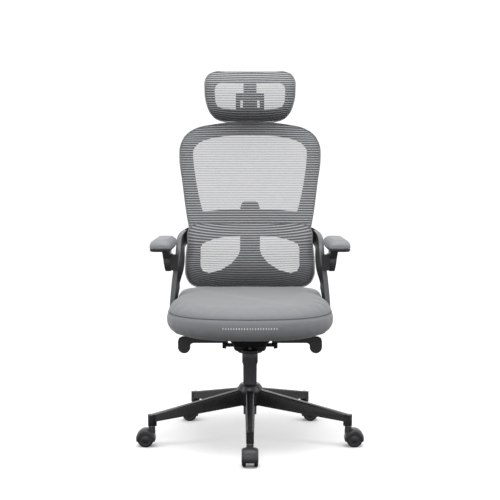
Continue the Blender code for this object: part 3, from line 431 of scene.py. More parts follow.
def bm_from_curve(curve, merge):
    """The curve's shape as a bmesh, with points nearer than the merge distance joined."""
    drawn = bpy.data.objects.new(curve.name, curve)
    bpy.context.collection.objects.link(drawn)
    bpy.context.view_layer.update()
    mesh = bpy.data.meshes.new_from_object(drawn)
    bpy.data.objects.remove(drawn)
    bm = bmesh.new()
    bm.from_mesh(mesh)
    bpy.data.meshes.remove(mesh)
    bmesh.ops.remove_doubles(bm, verts=bm.verts, dist=merge)
    return bm


def flat_plate(outline, thickness, rounding):
    """A plate in the XZ plane with rounded edges, or a single sheet where the thickness is 0."""
    curve = bpy.data.curves.new("plate", "CURVE")
    curve.dimensions = "2D"
    curve.fill_mode = "BOTH" if thickness else "BACK"
    curve.resolution_u = 5
    if thickness:
        curve.extrude = thickness / 2 - rounding
        curve.bevel_depth = rounding
        curve.bevel_resolution = 2
        curve.offset = -rounding
    spline = curve.splines.new("BEZIER")
    spline.bezier_points.add(len(outline) - 1)
    for point, (x, z) in zip(spline.bezier_points, outline):
        point.co = (x, z, 0)
        point.handle_left_type = point.handle_right_type = "AUTO"
    spline.use_cyclic_u = True
    bm = bm_from_curve(curve, 1e-6)
    bmesh.ops.rotate(bm, cent=(0, 0, 0), matrix=Matrix.Rotation(math.pi / 2, 3, "X"), verts=bm.verts)
    return bm


def cut_in_cells(bm, width_step, height_step):
    """Cuts a plate along evenly spaced X and Z planes, so that it can be bent."""
    for axis, step in ((0, width_step), (2, height_step)):
        low = min(v.co[axis] for v in bm.verts)
        high = max(v.co[axis] for v in bm.verts)
        for index in range(1, int((high - low) / step) + 1):
            place = Vector((0, 0, 0))
            place[axis] = low + index * step
            normal = Vector((0, 0, 0))
            normal[axis] = 1.0
            bmesh.ops.bisect_plane(
                bm, geom=bm.verts[:] + bm.edges[:] + bm.faces[:], dist=1e-5, plane_co=place, plane_no=normal
            )


def mirrored(half):
    """A closed outline from the points of its +X half, top to bottom."""
    return half + [(-x, z) for x, z in reversed(half) if x > 0]


def tube_along(points, radius):
    """A round welt along a closed line of points."""
    curve = bpy.data.curves.new("welt", "CURVE")
    curve.dimensions = "3D"
    curve.bevel_depth = radius
    curve.bevel_resolution = 3
    spline = curve.splines.new("POLY")
    spline.points.add(len(points) - 1)
    for point, place in zip(spline.points, points):
        point.co = (*place, 1.0)
    spline.use_cyclic_u = True
    bm = bm_from_curve(curve, 1e-7)
    bmesh.ops.recalc_face_normals(bm, faces=bm.faces)
    return bm


def in_order(start, neighbours):
    """The places of the points met by walking round a loop from a start."""
    ordered = [start]
    seen = {start}
    while True:
        ahead = [vert for vert in neighbours(ordered[-1]) if vert not in seen]
        if not ahead:
            return [vert.co.copy() for vert in ordered]
        ordered.append(ahead[0])
        seen.add(ahead[0])


def loop_at(bm, place, normal):
    """The points, in order round it, of the longest loop where a plane cuts a shape."""
    section = bm.copy()
    bmesh.ops.bisect_plane(
        section,
        geom=section.verts[:] + section.edges[:] + section.faces[:],
        plane_co=place,
        plane_no=normal,
        clear_inner=True,
        clear_outer=True,
    )
    start = max(section.verts, key=lambda v: v.co.length)
    points = in_order(start, lambda vert: [e.other_vert(vert) for e in vert.link_edges])
    section.free()
    return points


# ---------------------------------------------------------------- knitted panels and their frames

# How far the knit lies in front of its frame.
SHEET_GAP = 0.0016


def back_surface(x, z):
    """How far back the back's knit lies: leaned, with its top and its sides brought round."""
    return 0.205 + 0.26 * (z - 0.6) + 1.6 * max(0.0, z - 0.9) ** 2 - 0.026 * (x / 0.235) ** 2


def lumbar_surface(x, z):
    """How far back the lumbar pad's knit lies: bowed forwards at its middle height."""
    return 0.158 + 2.2 * (z - 0.575) ** 2 - 0.022 * (x / 0.208) ** 2 + 0.10 * (z - 0.575)


def head_surface(x, z):
    """How far back the headrest's knit lies: rolled back at its top and bottom."""
    return 0.238 + 0.036 * (abs(z - 1.088) / 0.082) ** 2.6 - 0.018 * (x / 0.148) ** 2


# The +X half of each panel's outline, as (x, z) from the top of its middle to the bottom.
MESH_HALF = [
    (0, 1.005),
    (0.120, 0.998),
    (0.1995, 0.9735),
    (0.228, 0.936),
    (0.2335, 0.890),
    (0.222, 0.800),
    (0.208, 0.700),
    (0.2005, 0.660),
    (0.1955, 0.632),
    (0.186, 0.620),
    (0.166, 0.628),
    (0, 0.648),
]
LUMBAR_HALF = [
    (0, 0.670),
    (0.120, 0.670),
    (0.180, 0.668),
    (0.196, 0.656),
    (0.203, 0.600),
    (0.2085, 0.535),
    (0.205, 0.495),
    (0.185, 0.469),
    (0.140, 0.4625),
    (0, 0.462),
]
HEAD_HALF = [
    (0, 1.1705),
    (0.080, 1.170),
    (0.119, 1.1685),
    (0.143, 1.150),
    (0.148, 1.108),
    (0.142, 1.062),
    (0.125, 1.026),
    (0.098, 1.009),
    (0, 1.0065),
]


def knitted_panel(name, half, surface, row_bend, thinning_and_shade, body, node, finish):
    """A panel of slatted knit stretched over its frame.

    row_bend(x, z) is how much higher a rib lies at that place than at the panel's middle, and the thinning
    function is how far the knit is thinned there, and its colour darkened as painted shade, from 0 to 1.
    """
    bm = flat_plate(mirrored(half), 0, 0)
    cut_in_cells(bm, 0.010, 0.008)
    uv = bm.loops.layers.uv.verify()
    flat_area = sum(face.calc_area() for face in bm.faces)
    for face in bm.faces:
        for loop in face.loops:
            x, z = loop.vert.co.x, loop.vert.co.z
            loop[uv].uv = (x + 1.0, z - row_bend(x, z))
    pull_and_painted_shade = bm.verts.layers.float.new("pull_and_painted_shade")
    for vert in bm.verts:
        vert[pull_and_painted_shade] = thinning_and_shade(vert.co.x, vert.co.z)
        vert.co.y = surface(vert.co.x, vert.co.z) - SHEET_GAP
    bmesh.ops.recalc_face_normals(bm, faces=bm.faces)
    if sum(face.normal.y for face in bm.faces) > 0:
        bmesh.ops.reverse_faces(bm, faces=bm.faces)
    stretched_area = sum(face.calc_area() for face in bm.faces)
    panel = object_from(bm, name, [finish])
    fit(panel, body, "grey_mesh", node)


def rolled_edge(name, half, surface, body, radius, finish):
    """The knit's edge rolled round the frame's rim."""
    bm = flat_plate(mirrored(half), 0, 0)
    start = next(e for e in bm.edges if e.is_boundary).verts[0]
    rim = in_order(start, lambda vert: [e.other_vert(vert) for e in vert.link_edges if e.is_boundary])
    points = [Vector((place.x, surface(place.x, place.z) - SHEET_GAP, place.z)) for place in rim]
    bm.free()
    fit(object_from(tube_along(points, radius), name, [finish]), body, "grey_mesh")


def lumbar_rows(x, z):
    """Ribs sag in the middle of the lumbar pad and turn up along its lower corners."""
    side = abs(x) / 0.208
    low = max(0.0, (0.56 - z) / 0.10)
    high = max(0.0, (z - 0.60) / 0.07)
    return 0.005 * side**2 + 0.020 * high * side**2.5 + 0.055 * low**1.4 * side**3


def head_rows(x, z):
    """Ribs arch over the headrest's top and turn up along its lower corners."""
    side = abs(x) / 0.148
    high = max(0.0, (z - 1.115) / 0.055)
    low = max(0.0, (1.065 - z) / 0.06)
    return -0.012 * high**1.2 * side**2 + 0.040 * low**1.2 * side**3


def back_rows(x, z):
    """Ribs run level over the back and follow its top edge a little."""
    side = abs(x) / 0.235
    high = max(0.0, (z - 0.93) / 0.075)
    return -0.016 * high**1.2 * side**2.5


def ramp(value, start, end):
    """0 before start, 1 after end, and a straight rise between them."""
    return max(0.0, min(1.0, (value - start) / (end - start)))


def back_thinning_and_shade(x, z):
    """The knit is thinned a little at the back's sides, and its colour darkened there a little as painted
    shade.
    """
    return 0.15 * ramp(abs(x), 0.20, 0.235)


def lumbar_thinning_and_shade(x, z):
    """The knit is thinned hard over the lumbar pad's bottom and sides, and its colour darkened there as
    painted shade on the rims that turn away from the light.
    """
    edge = ramp(abs(x) / (0.2085 if z < 0.56 else 0.200), 0.90, 1.0) * ramp(z, 0.67, 0.60)
    return min(1.0, 0.75 * ramp(z, 0.545, 0.475) + 0.55 * edge)


def head_thinning_and_shade(x, z):
    """The knit is thinned hard under the headrest's bottom, and a little at its sides, and its colour
    darkened there as painted shade on the downward-facing underside.
    """
    return 0.75 * ramp(z, 1.050, 1.015) + 0.25 * ramp(abs(x), 0.125, 0.148)


def make_panels(finish):
    """The back, lumbar and headrest panels, each with the rolled edge round its frame."""
    rows = (
        ("back", MESH_HALF, back_surface, back_rows, back_thinning_and_shade, "rocker", 0.0022),
        ("lumbar", LUMBAR_HALF, lumbar_surface, lumbar_rows, lumbar_thinning_and_shade, "lumbar_pad", 0.0022),
        ("headrest", HEAD_HALF, head_surface, head_rows, head_thinning_and_shade, "headrest_pad", 0.002),
    )
    for word, half, surface, row_bend, thinning_and_shade, body, edge_radius in rows:
        node, rim = word + "_mesh", word + "_frame"
        knitted_panel(word + "_knit", half, surface, row_bend, thinning_and_shade, body, node, finish)
        rolled_edge(word + "_knit_edge", half, surface, body, edge_radius, finish)


# ---------------------------------------------------------------- seat cushion

SEAM_PLACE = Vector((0, -0.272, 0.411))
SEAM_NORMAL = Vector((0, -0.012, 1)).normalized()
# The cloth starts this far inside the cushion's shape, and is brought back out once it has settled.
SEAT_TUCK = 0.003
TUCKED_ABOVE = 0.348
HELD_BELOW = 0.349
# The share of the settled cloth's movement that is kept, and the most that a point may move.
CLOTH_SHARE = 0.3
CLOTH_REACH = 0.006
CLOTH_FRAMES = 20
GROOVE_HALF = 0.012
GROOVE_DEPTH = 0.0022
STITCH_HEIGHT = 0.3850
STITCH_COUNT = 21
STITCH_STEP = 0.0078
STITCH_RADII = (0.0011, 0.0007, 0.0030)


def from_seam(place):
    """How far a place lies above the seam's plane."""
    return (place - SEAM_PLACE).dot(SEAM_NORMAL)


def smoothed(bm, rounds):
    """Evens out a shape's small bumps."""
    for _ in range(rounds):
        bmesh.ops.smooth_vert(
            bm, verts=bm.verts, factor=0.5, use_axis_x=True, use_axis_y=True, use_axis_z=True
        )


def settled_by_cloth(bm):
    """Swells the cushion as a cloth bag under pressure, held along its seam and under its base."""
    mesh = bpy.data.meshes.new("swelling")
    bm.to_mesh(mesh)
    swelling = bpy.data.objects.new("swelling", mesh)
    bpy.context.collection.objects.link(swelling)
    start = [v.co.copy() for v in mesh.vertices]
    held = swelling.vertex_groups.new(name="held")
    for vert in mesh.vertices:
        if abs(from_seam(vert.co)) < 0.003 or vert.co.z < HELD_BELOW:
            held.add([vert.index], 1.0, "REPLACE")
    cloth = swelling.modifiers.new("cloth", "CLOTH")
    cloth.settings.quality = 4
    cloth.settings.mass = 0.25
    cloth.settings.tension_stiffness = 22
    cloth.settings.compression_stiffness = 22
    cloth.settings.bending_stiffness = 1.5
    cloth.settings.shrink_min = -0.012
    cloth.settings.use_pressure = True
    cloth.settings.uniform_pressure_force = 6.0
    cloth.settings.vertex_group_mass = "held"
    cloth.settings.effector_weights.gravity = 0
    cloth.collision_settings.use_collision = False
    cloth.point_cache.frame_start = 1
    cloth.point_cache.frame_end = CLOTH_FRAMES
    for number in range(1, CLOTH_FRAMES + 1):
        bpy.context.scene.frame_set(number)
    settled = swelling.evaluated_get(bpy.context.evaluated_depsgraph_get())
    moved = [v.co.copy() for v in settled.to_mesh().vertices]
    settled.to_mesh_clear()
    bpy.context.scene.frame_set(1)
    bpy.data.objects.remove(swelling)
    bpy.data.meshes.remove(mesh)
    steps = [after - before for before, after in zip(start, moved)]
    steps = [step * CLOTH_SHARE * min(1.0, CLOTH_REACH / max(step.length, 1e-9)) for step in steps]
    rises = [step.dot(vert.normal) for step, vert in zip(steps, bm.verts) if vert.co.z > HELD_BELOW]
    mean_rise = sum(rises) / len(rises)
    for vert, before, step in zip(bm.verts, start, steps):
        # The folds and swells are kept, and the cushion's size is not changed by them.
        lift = SEAT_TUCK - mean_rise if before.z > HELD_BELOW else 0.0
        vert.co = before + step + vert.normal * lift


def remeshed(bm, voxel, rounds):
    """The same closed shape in even quads, smoothed the given number of times."""
    mesh = bpy.data.meshes.new("even")
    bm.to_mesh(mesh)
    bm.free()
    block = bpy.data.objects.new("even", mesh)
    bpy.context.collection.objects.link(block)
    remesh = block.modifiers.new("even", "REMESH")
    remesh.mode = "VOXEL"
    remesh.voxel_size = voxel
    even = bpy.data.meshes.new_from_object(block.evaluated_get(bpy.context.evaluated_depsgraph_get()))
    bpy.data.objects.remove(block)
    bm = bmesh.new()
    bm.from_mesh(even)
    bpy.data.meshes.remove(even)
    smoothed(bm, rounds)
    return bm


def round_seat(place):
    """How far round the seat's boxing a place lies, in metres, from the middle of the front."""
    return math.atan2(place.x, -(place.y + 0.02)) * 0.25


def seat_uv(bm):
    """Lays the cloth flat on the top, and upright round the boxing below the seam, in metres."""
    uv = bm.loops.layers.uv.verify()
    full_turn = 2 * math.pi * 0.25
    for face in bm.faces:
        centre = face.calc_center_median()
        boxing = from_seam(centre) <= 0 and centre.z >= 0.350
        for loop in face.loops:
            place = loop.vert.co
            if not boxing:
                loop[uv].uv = (place.x, place.y)
                continue
            # A face that spans the place where the count starts again takes all its points from one side.
            along = round_seat(place)
            if abs(along - round_seat(centre)) > 0.4:
                along -= math.copysign(full_turn, along)
            loop[uv].uv = (along, place.z)


def make_stitches(line, finish):
    """A short decorative row of white tacking stitches at the middle of the seat's front."""
    bm = bmesh.new()
    front = sorted((p for p in line if p.y < 0 and abs(p.x) < 0.10), key=lambda p: p.x)
    for index in range(STITCH_COUNT):
        x = (index - (STITCH_COUNT - 1) / 2) * STITCH_STEP
        place = min(front, key=lambda p: abs(p.x - x))
        stitch = bmesh.ops.create_uvsphere(bm, u_segments=8, v_segments=6, radius=1.0)
        bmesh.ops.scale(bm, vec=STITCH_RADII, verts=stitch["verts"])
        bmesh.ops.translate(bm, vec=(x, place.y - 0.0002, place.z), verts=stitch["verts"])
    stitches = object_from(bm, "front_tacking_stitches", [finish])
    fit(stitches, "rocker", "grey_fabric")


def make_seat(cloth_finish, welt_finish, thread_finish):
    """The seat: foam under stretched cloth, boxed at the sides, with a piped seam round the top."""
    bm = remeshed(node_copy("seat_cushion"), 0.005, 9)
    bm.normal_update()
    for vert in bm.verts:
        vert.co += vert.normal * 0.0008 * ramp(vert.co.z, 0.345, 0.355)
    bm.normal_update()
    for vert in bm.verts:
        if vert.co.z > TUCKED_ABOVE:
            vert.co -= vert.normal * SEAT_TUCK
    bm.normal_update()
    settled_by_cloth(bm)
    smoothed(bm, 3)
    bm.normal_update()
    # The seam draws the cloth in.
    for vert in bm.verts:
        gap = abs(from_seam(vert.co))
        if gap < GROOVE_HALF and abs(vert.normal.z) < 0.75:
            vert.co -= vert.normal * GROOVE_DEPTH * (1 - gap / GROOVE_HALF) ** 2
    # The foam fills out the cushion's rear corners.
    for vert in bm.verts:
        squared = ramp(vert.co.y, -0.10, 0.15) * ramp(vert.co.z, 0.350, 0.400)
        outward = 0.014 * squared * min(1.0, abs(vert.co.x) / 0.20) ** 2
        vert.co.x += math.copysign(outward, vert.co.x)
        vert.co.z += 0.0018 * ramp(vert.co.y, 0.02, 0.14) * ramp(vert.co.z, 0.400, 0.430)
    seam = loop_at(bm, SEAM_PLACE, SEAM_NORMAL)
    bmesh.ops.bisect_plane(
        bm,
        geom=bm.verts[:] + bm.edges[:] + bm.faces[:],
        dist=1e-4,
        plane_co=SEAM_PLACE,
        plane_no=SEAM_NORMAL,
    )
    seat_uv(bm)
    seat = object_from(bm, "seat_cushion_cloth", [cloth_finish])
    subdivision = seat.modifiers.new("smooth_cloth", "SUBSURF")
    subdivision.levels = subdivision.render_levels = 1
    fit(seat, "rocker", "grey_fabric", "seat_cushion")
    bm = bmesh.new()
    bm.from_mesh(seat.data)
    stitch_line = loop_at(bm, Vector((0, 0, STITCH_HEIGHT)), Vector((0, 0, 1)))
    bm.free()
    make_stitches(stitch_line, thread_finish)
    piping = object_from(tube_along(seam[::2], 0.0019), "seat_piping", [welt_finish])
    fit(piping, "rocker", "grey_fabric")


# ---------------------------------------------------------------- arm pads


def make_arm_pads(finish):
    """Soft polyurethane pads, moulded in one over their dark base plates."""
    for side in ("left", "right"):
        bm = node_copy("arm_pad_" + side)
        for vert in bm.verts:
            # The pad's inner side swells towards the rear.
            if abs(vert.co.x) < 0.262:
                vert.co.x -= math.copysign(0.0055 * ramp(vert.co.y, -0.02, 0.06), vert.co.x)
        bm = remeshed(bm, 0.0022, 3)
        bm.normal_update()
        for vert in bm.verts:
            vert.co += vert.normal * 0.0007
        pad = object_from(bm, f"arm_pad_{side}_skin", [finish])
        fit(pad, "arm_" + side, "grey_pad", "arm_pad_" + side)


# ---------------------------------------------------------------- side rails

# Middle of the front edge, middle of the rear edge, and the outward side, from under the seat to the back.
RAIL_STATIONS = (
    ((0.130, 0.022, 0.331), (0.130, 0.070, 0.331), (0, 0, -1)),
    ((0.200, 0.022, 0.331), (0.200, 0.070, 0.331), (0, 0, -1)),
    ((0.230, 0.022, 0.337), (0.230, 0.070, 0.337), (0.6, 0, -0.8)),
    ((0.244, 0.022, 0.360), (0.243, 0.070, 0.360), (1, 0, -0.15)),
    ((0.2455, 0.022, 0.410), (0.242, 0.070, 0.405), (1, 0, 0.05)),
    ((0.242, 0.022, 0.460), (0.2350, 0.0715, 0.450), (1, 0, 0.08)),
    ((0.237, 0.022, 0.510), (0.2265, 0.0755, 0.490), (1, 0, 0.1)),
    ((0.231, 0.0225, 0.550), (0.2180, 0.089, 0.520), (1, 0.1, 0.1)),
    ((0.2272, 0.031, 0.582), (0.2150, 0.110, 0.546), (1, 0.12, 0.08)),
    ((0.2262, 0.052, 0.608), (0.2154, 0.134, 0.570), (1, 0.13, 0.06)),
    ((0.2258, 0.085, 0.628), (0.2166, 0.160, 0.590), (1, 0.13, 0.05)),
    ((0.223, 0.130, 0.639), (0.2128, 0.183, 0.600), (1, 0.22, 0.05)),
    ((0.218, 0.172, 0.645), (0.2095, 0.199, 0.607), (1, 0.35, 0)),
    ((0.212, 0.207, 0.649), (0.2095, 0.208, 0.612), (0.95, 0.5, -0.1)),
    ((0.208, 0.228, 0.652), (0.207, 0.220, 0.616), (0.6, 1, -0.26)),
    ((0.197, 0.2335, 0.653), (0.197, 0.2241, 0.617), (0.22, 1, -0.26)),
    ((0.170, 0.2372, 0.653), (0.170, 0.2278, 0.618), (0.165, 1, -0.26)),
)
# Half the rail's thickness at its front edge, and at its rear edge where it is broad.
RAIL_HALF = 0.0082
RAIL_HALF_REAR = 0.0050
RAIL_BROAD = 0.055


def between(before, start, end, after, share):
    """A point on the smooth curve through four places, between the middle two."""
    a, b, c, d = (Vector(place) for place in (before, start, end, after))
    return 0.5 * (
        2 * b
        + (c - a) * share
        + (2 * a - 5 * b + 4 * c - d) * share**2
        + (3 * b - a - 3 * c + d) * share**3
    )


def make_rail(word, side, painted_lit_finish, inside_finish):
    """A curved band from under the seat, up past the arm's hinge and round to the back."""
    last = len(RAIL_STATIONS) - 1
    bm = bmesh.new()
    loops = []
    for index in range(last):
        rows = [RAIL_STATIONS[min(max(index + step, 0), last)] for step in (-1, 0, 1, 2)]
        shares = (0, 0.25, 0.5, 0.75) if index < last - 1 else (0, 0.25, 0.5, 0.75, 1)
        for share in shares:
            front, rear, out = (between(*(row[part] for row in rows), share) for part in range(3))
            out.normalize()
            across = (rear - front).normalized()
            out = (out - across * out.dot(across)).normalized()
            rear_half = RAIL_HALF_REAR if (rear - front).length > RAIL_BROAD else RAIL_HALF
            corners = (
                front + out * RAIL_HALF,
                front - out * RAIL_HALF,
                rear - out * rear_half,
                rear + out * rear_half,
            )
            verts = [bm.verts.new((corner.x * side, corner.y, corner.z)) for corner in corners]
            loops.append([bm.edges.new((verts[i], verts[(i + 1) % 4])) for i in range(4)])
    for near, far in zip(loops, loops[1:]):
        bmesh.ops.bridge_loops(bm, edges=near + far)
    bmesh.ops.contextual_create(bm, geom=loops[0])
    bmesh.ops.contextual_create(bm, geom=loops[-1])
    bmesh.ops.recalc_face_normals(bm, faces=bm.faces)
    bm.normal_update()
    # The rail is black plastic all through. Its faces that look inward above the seat take the black finish,
    # and all the others take a lighter grey finish, as painted light for the studio light caught on the
    # outer and front faces.
    for face in bm.faces:
        place = face.calc_center_median()
        if face.normal.x * side < -0.45 and place.z > 0.40:
            face.material_index = 1
    rail = object_from(bm, f"side_rail_{word}", [painted_lit_finish, inside_finish])
    ease_edges(rail, 0.0026, 3, 40)
    fit(rail, "rocker", "black_plastic", "arm_rail_" + word)


def make_gusset(word, side, finish):
    """The web that joins the rail's top to the back's lower corner."""
    outline = [
        (0.190, 0.652),
        (0.214, 0.650),
        (0.216, 0.630),
        (0.212, 0.604),
        (0.197, 0.598),
        (0.188, 0.612),
    ]
    bm = flat_plate(outline, 0.008, 0.0015)
    bmesh.ops.translate(bm, vec=(0, 0.199, 0), verts=bm.verts)
    if side < 0:
        bmesh.ops.scale(bm, vec=(-1, 1, 1), verts=bm.verts)
    bmesh.ops.recalc_face_normals(bm, faces=bm.faces)
    fit(object_from(bm, f"rail_gusset_{word}", [finish], smooth=False), "rocker", "black_plastic")


# ---------------------------------------------------------------- casters

HOOD_SWEEP = (math.radians(-18), math.radians(198))
# Half of the cover's outer and inner profile, as (radius, distance along the axle) from its rim inwards.
HOOD_OUTER = (
    (0.0226, -0.0240),
    (0.0250, -0.0231),
    (0.0268, -0.0215),
    (0.0281, -0.0190),
    (0.0290, -0.0150),
    (0.0294, -0.0100),
)
HOOD_INNER = (
    (0.0276, -0.0100),
    (0.0273, -0.0145),
    (0.0266, -0.0178),
    (0.0256, -0.0201),
    (0.0243, -0.0216),
    (0.0224, -0.0229),
)
WEB_HALF = 0.0092
WEB_RADIUS = 0.0280
# The tyre and disc from the axle outwards: from the rim in, or as a share of the radius, and from the face.
TREAD = ((0.0030, 0.0), (0.0009, 0.0009), (0.0, 0.0030))
OUTER_FACE = (
    (0.0, 0.0062),
    (0.0005, 0.0040),
    (0.0018, 0.0020),
    (0.0038, 0.0006),
    (0.0058, 0.0),
    (0.0070, 0.0002),
    (0.0076, 0.0014),
    (0.0100, 0.0018),
)


def centre_of(*nodes):
    """The middle of the nodes' boxes taken together, as the mean of their middles."""
    boxes = [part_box(node) for node in nodes]
    return sum((low + high for low, high in boxes), Vector((0, 0, 0))) / (2 * len(boxes))


def swept_round(profile, steps=36):
    """A closed profile of (radius, height) points swept about Z through the hood's arc."""
    bm = bmesh.new()
    corners = [bm.verts.new((radius, 0, height)) for radius, height in profile]
    edges = [bm.edges.new((corners[i - 1], corners[i])) for i in range(len(corners))]
    bmesh.ops.rotate(bm, cent=(0, 0, 0), matrix=Matrix.Rotation(HOOD_SWEEP[0], 3, "Z"), verts=bm.verts)
    bmesh.ops.spin(
        bm,
        geom=corners + edges,
        cent=(0, 0, 0),
        axis=(0, 0, 1),
        angle=HOOD_SWEEP[1] - HOOD_SWEEP[0],
        steps=steps,
    )
    bmesh.ops.holes_fill(bm, edges=[e for e in bm.edges if e.is_boundary], sides=0)
    bmesh.ops.recalc_face_normals(bm, faces=bm.faces)
    return bm


def make_hood(body, finish):
    """A caster's cover: a domed arc over both wheels, a web between them and the boss for the stem."""
    axle = centre_of(body + "_wheel_left", body + "_wheel_right")
    stem = centre_of(body + "_stem")
    trail = Vector((axle.x - stem.x, axle.y - stem.y, 0))
    outside = HOOD_OUTER + tuple((radius, -along) for radius, along in reversed(HOOD_OUTER))
    inside = tuple((radius, -along) for radius, along in reversed(HOOD_INNER)) + HOOD_INNER
    bm = swept_round(outside + inside)
    web = swept_round(
        [(0.0008, -WEB_HALF), (WEB_RADIUS, -WEB_HALF), (WEB_RADIUS, WEB_HALF), (0.0008, WEB_HALF)]
    )
    web_mesh = bpy.data.meshes.new("web")
    web.to_mesh(web_mesh)
    web.free()
    bm.from_mesh(web_mesh)
    bpy.data.meshes.remove(web_mesh)
    foot = bmesh.ops.create_cube(bm, size=1.0)["verts"]
    bmesh.ops.scale(bm, vec=(0.024, 0.0135, 2 * WEB_HALF), verts=foot)
    bmesh.ops.translate(bm, vec=(0, -0.0050, 0), verts=foot)
    boss = bmesh.ops.create_cone(
        bm, cap_ends=True, segments=28, radius1=0.0112, radius2=0.0104, depth=0.0200
    )["verts"]
    bmesh.ops.rotate(bm, cent=(0, 0, 0), matrix=Matrix.Rotation(-math.pi / 2, 3, "X"), verts=boss)
    bmesh.ops.translate(bm, vec=(-trail.length, 0.0258, 0), verts=boss)
    bmesh.ops.rotate(bm, cent=(0, 0, 0), matrix=Matrix.Rotation(math.pi / 2, 3, "X"), verts=bm.verts)
    turn = Matrix.Rotation(math.atan2(trail.y, trail.x), 3, "Z")
    bmesh.ops.rotate(bm, cent=(0, 0, 0), matrix=turn, verts=bm.verts)
    bmesh.ops.translate(bm, vec=axle + Vector((0, 0, 0.001)), verts=bm.verts)
    hood = object_from(bm, body + "_cover", [finish])
    hood.data.set_sharp_from_angle(angle=math.radians(45))
    fit(hood, body, "caster_nylon", body + "_hood")


def make_casters(tyre, cover, steel):
    """Twin-wheel casters: a tyre with rounded shoulders, and a dished disc with a raised rim outside it."""
    for number in range(1, 6):
        body = f"caster_{number}"
        middle = centre_of(body + "_hood")
        for side in ("left", "right"):
            low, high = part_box(f"{body}_wheel_{side}")
            place = (low + high) / 2
            size = high - low
            along_x = size.x < size.y
            half = (size.x if along_x else size.y) / 2
            radius = size.z / 2
            profile = [(0.0, -half)]
            profile += [(radius - inward, -half + rise) for inward, rise in TREAD]
            profile += [(radius - inward, half - dip) for inward, dip in OUTER_FACE]
            profile += [(radius * 0.34, half - 0.0010), (radius * 0.30, half - 0.0004), (0.0, half)]
            bm = turned_shape(profile)
            if along_x:
                outward = 1.0 if place.x > middle.x else -1.0
                turn = Matrix.Rotation(math.pi / 2 * outward, 3, "Y")
            else:
                outward = 1.0 if place.y > middle.y else -1.0
                turn = Matrix.Rotation(-math.pi / 2 * outward, 3, "X")
            bmesh.ops.rotate(bm, cent=(0, 0, 0), matrix=turn, verts=bm.verts)
            bmesh.ops.translate(bm, vec=place, verts=bm.verts)
            wheel = object_from(bm, f"{body}_tyre_{side}", [tyre])
            wheel.data.set_sharp_from_angle(angle=math.radians(50))
            fit(wheel, f"{body}_{side}", "caster_nylon", f"{body}_wheel_{side}")
        make_hood(body, cover)
        eased_part(body + "_stem", body, "zinc_steel", steel, 0.0004)


# ---------------------------------------------------------------- the whole chair


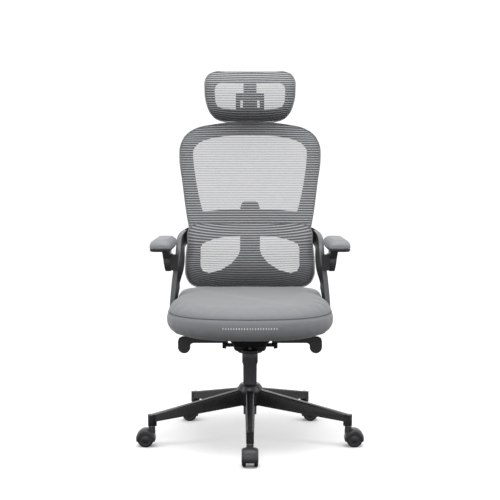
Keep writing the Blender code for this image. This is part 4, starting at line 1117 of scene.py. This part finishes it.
def main():
    """Sets the scene, makes the finishes and builds every piece."""
    set_up_studio()

    # Name, darker and lighter tone, roughness, and the grain's width and depth in millimetres.
    black_frame = moulded_finish("matt_black_polypropylene", "#101112", "#161718", 0.42, 0.9, 0.04)
    base_nylon = moulded_finish("glass_filled_black_nylon", "#111214", "#1a1b1d", 0.28, 1.1, 0.03)
    caster_nylon = moulded_finish("dark_grey_nylon", "#222326", "#2c2d30", 0.40, 0.8, 0.03)
    tyre_nylon = moulded_finish("tough_grey_nylon_tyre", "#1b1c1e", "#252628", 0.50, 0.7, 0.05)
    powder_coat = moulded_finish("black_powder_coat", "#101113", "#17181a", 0.38, 0.6, 0.04)
    gloss_tube = moulded_finish("black_enamelled_tube", "#4c4e51", "#585a5d", 0.30, 3.0, 0.01, metallic=0.6)
    # The side rails' black plastic, made lighter grey as painted light on their outer and front faces.
    rail_painted_lit_grey = moulded_finish("black_nylon_rail_painted_lit_grey", "#58595b", "#636466", 0.36, 0.9, 0.02)
    post_nylon = moulded_finish("satin_black_nylon_post", "#343537", "#3e3f41", 0.38, 0.9, 0.03)
    grey_pad = moulded_finish("grey_polyurethane_skin", "#77797c", "#838588", 0.50, 0.9, 0.10)
    dark_cloth = moulded_finish("dark_grey_piping_cloth", "#55575a", "#626467", 0.85, 0.8, 0.12)
    white_thread = moulded_finish("white_bonded_thread", "#e4e4e2", "#f0f0ee", 0.7, 0.5, 0.05)
    # Name, colour, roughness and the width of a scratch in millimetres.
    chrome = brushed_metal("chromed_piston_steel", "#d8dadd", 0.08, 0.5)
    steel = brushed_metal("zinc_plated_steel", "#a9acb0", 0.32, 0.7)
    knit = knitted_mesh()
    seat_cloth = woven_seat_cloth()

    make_panels(knit)
    make_seat(seat_cloth, dark_cloth, white_thread)
    make_arm_pads(grey_pad)
    make_casters(tyre_nylon, caster_nylon, steel)
    for word, side in (("left", 1), ("right", -1)):
        make_rail(word, side, rail_painted_lit_grey, black_frame)
        make_gusset(word, side, black_frame)

    # Node, body, slot, finish and the radius of its eased edges.
    hard_parts = (
        ("base_star", "base", "black_plastic", base_nylon, 0.0026),
        ("column_tube", "base", "black_paint", gloss_tube, 0.0012),
        ("column_bush", "base", "black_plastic", black_frame, 0.0004),
        ("gas_cylinder", "lift", "chrome", chrome, 0.0004),
        ("valve_button", "valve", "zinc_steel", steel, 0.0003),
        ("mechanism_housing", "swivel", "black_paint", powder_coat, 0.0014),
        ("taper_socket", "swivel", "black_paint", powder_coat, 0.0008),
        ("tension_spring", "swivel", "zinc_steel", steel, 0.0002),
        ("tilt_shaft", "swivel", "zinc_steel", powder_coat, 0.0004),
        ("tension_knob", "knob", "black_plastic", black_frame, 0.0010),
        ("lever_height", "lever_height", "black_plastic", black_frame, 0.0016),
        ("lever_tilt", "lever_tilt", "black_plastic", black_frame, 0.0016),
        ("tilt_plate", "rocker", "black_paint", powder_coat, 0.0006),
        ("seat_pan", "rocker", "black_plastic", black_frame, 0.0016),
        ("arm_bracket_left", "rocker", "black_plastic", black_frame, 0.0020),
        ("arm_bracket_right", "rocker", "black_plastic", black_frame, 0.0020),
        ("arm_pin_left", "rocker", "zinc_steel", steel, 0.0004),
        ("arm_pin_right", "rocker", "zinc_steel", steel, 0.0004),
        ("back_frame", "rocker", "black_plastic", black_frame, 0.0020),
        ("back_bolt_left", "rocker", "zinc_steel", steel, 0.0004),
        ("back_bolt_right", "rocker", "zinc_steel", steel, 0.0004),
        ("arm_post_left", "arm_left", "black_plastic", post_nylon, 0.0024),
        ("arm_post_right", "arm_right", "black_plastic", post_nylon, 0.0024),
        ("arm_pad_base_left", "arm_left", "black_plastic", black_frame, 0.0014),
        ("arm_pad_base_right", "arm_right", "black_plastic", black_frame, 0.0014),
        ("lumbar_slide", "lumbar_carrier", "black_plastic", black_frame, 0.0012),
        ("lumbar_pin", "lumbar_carrier", "zinc_steel", steel, 0.0003),
        ("lumbar_frame", "lumbar_pad", "black_plastic", black_frame, 0.0016),
        ("headrest_post", "headrest_carrier", "black_plastic", black_frame, 0.0016),
        ("headrest_pin", "headrest_carrier", "zinc_steel", steel, 0.0003),
        ("headrest_bracket", "headrest_pad", "black_plastic", black_frame, 0.0012),
        ("headrest_frame", "headrest_pad", "black_plastic", black_frame, 0.0014),
    )
    for node, body, slot, finish, radius in hard_parts:
        eased_part(node, body, slot, finish, radius)


main()
